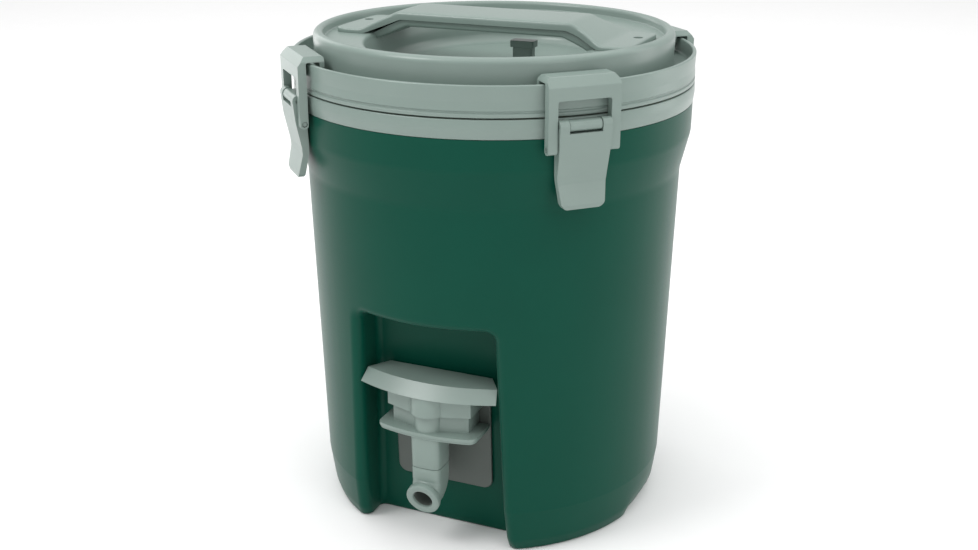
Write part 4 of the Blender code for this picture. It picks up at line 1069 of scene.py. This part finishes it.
def make_paddle():
    """The push paddle: a flat top that bows forward and a sloped lip all along its front, hollow beneath; the
    skirt below is made by make_skirt.
    """
    top = bow((41.7, -93.7), -101.8)
    lip = bow((43.5, -99.9), -109.3)
    back = [(-33.4, -80.6), (33.4, -80.6)]
    outside = [[(x, y, z) for x, y in back + line] for line, z in ((lip, PADDLE_FOOT), (top, PADDLE_TOP))]
    paddle = loft("paddle_top", outside)
    inner_lip = bow((39.8, -97.2), -106.2)
    inner_top = bow((38.2, -92.4), -100.0)
    inner_back = [(-31.0, -83.0), (31.0, -83.0)]
    levels = ((inner_lip, PADDLE_FOOT - 1.0), (inner_top, PADDLE_TOP - PADDLE_SHEET))
    hollow = loft("hollow", [[(x, y, z) for x, y in inner_back + line] for line, z in levels])
    cut(paddle, hollow)
    cut(paddle, prism("block_space", block_space(), 97.0, 102.9, "Z"))
    cut(paddle, upright("spring_space", SPRING_SPACE, 97.0, 103.0))
    cut(paddle, upright("nose_space", BLOCK_NOSE + SKIRT_CLEARANCE, 97.0, NOSE_INSIDE))
    return soften(paddle, 0.9, 4)


def block_space():
    """The plan that clears the valve block, open at its back."""
    return [(x, y + 3.0 if y == TAP_BACK else y) for x, y in block_plan(SKIRT_CLEARANCE)]


def make_skirt():
    skirt = prism("paddle_skirt", block_plan(SKIRT_OUT), SKIRT_FOOT, SKIRT_TOP, "Z")
    cut(skirt, upright("nose", BLOCK_NOSE + SKIRT_OUT, SKIRT_FOOT, NOSE_TOP), "UNION")
    low = SKIRT_FOOT - 1.5
    cut(skirt, prism("inner", block_space(), low, SKIRT_INSIDE, "Z"))
    cut(skirt, upright("nose_inner", BLOCK_NOSE + SKIRT_CLEARANCE, low, NOSE_INSIDE))
    cut(skirt, upright("spring_space", SPRING_SPACE, low, SKIRT_INSIDE - 0.2))
    return soften(skirt, 0.35, 2)


finish_piece(make_plate(), DARK, "jug", "tap_plate")
finish_piece(make_tap_block(), GREY, "jug", "tap_body")
finish_piece(make_shelf_foot(), GREY, "jug", "tap_body")
finish_piece(make_down_tube(), GREY, "jug", "tap_body")
finish_piece(make_nozzle(), GREY, "jug", "nozzle")
# The bore sleeve in the dark material is painted shade for the shadow inside the nozzle.
finish_piece(make_painted_shade_sleeve(), DARK, "jug", "nozzle")
finish_piece(make_paddle(), GREY, "paddle_unit", "paddle")
finish_piece(make_skirt(), GREY, "paddle_unit", "paddle")


# ---------------------------------------------------------------- CAD pieces that stay, floor and finish

shown_slots = {row["node"]: row["material_slot"] for row in frame["record"]["subparts"]}
for node_name, node in frame["nodes"].items():
    look = SLOT_LOOKS[shown_slots[node_name]]
    for material_slot in node.material_slots:
        material_slot.material = look

floor_mesh = bpy.data.meshes.new("floor")
FLOOR_HALF = 6.0
floor_mesh.from_pydata(
    [(x * FLOOR_HALF, y * FLOOR_HALF, 0) for x, y in ((-1, -1), (1, -1), (1, 1), (-1, 1))],
    [],
    [(0, 1, 2, 3)],
)
floor = link("floor", floor_mesh)
floor_look = plastic("floor_paper", (0.9, 0.9, 0.9), 0.9, grain=0.005, bump=0.0)
floor_mesh.materials.append(floor_look)
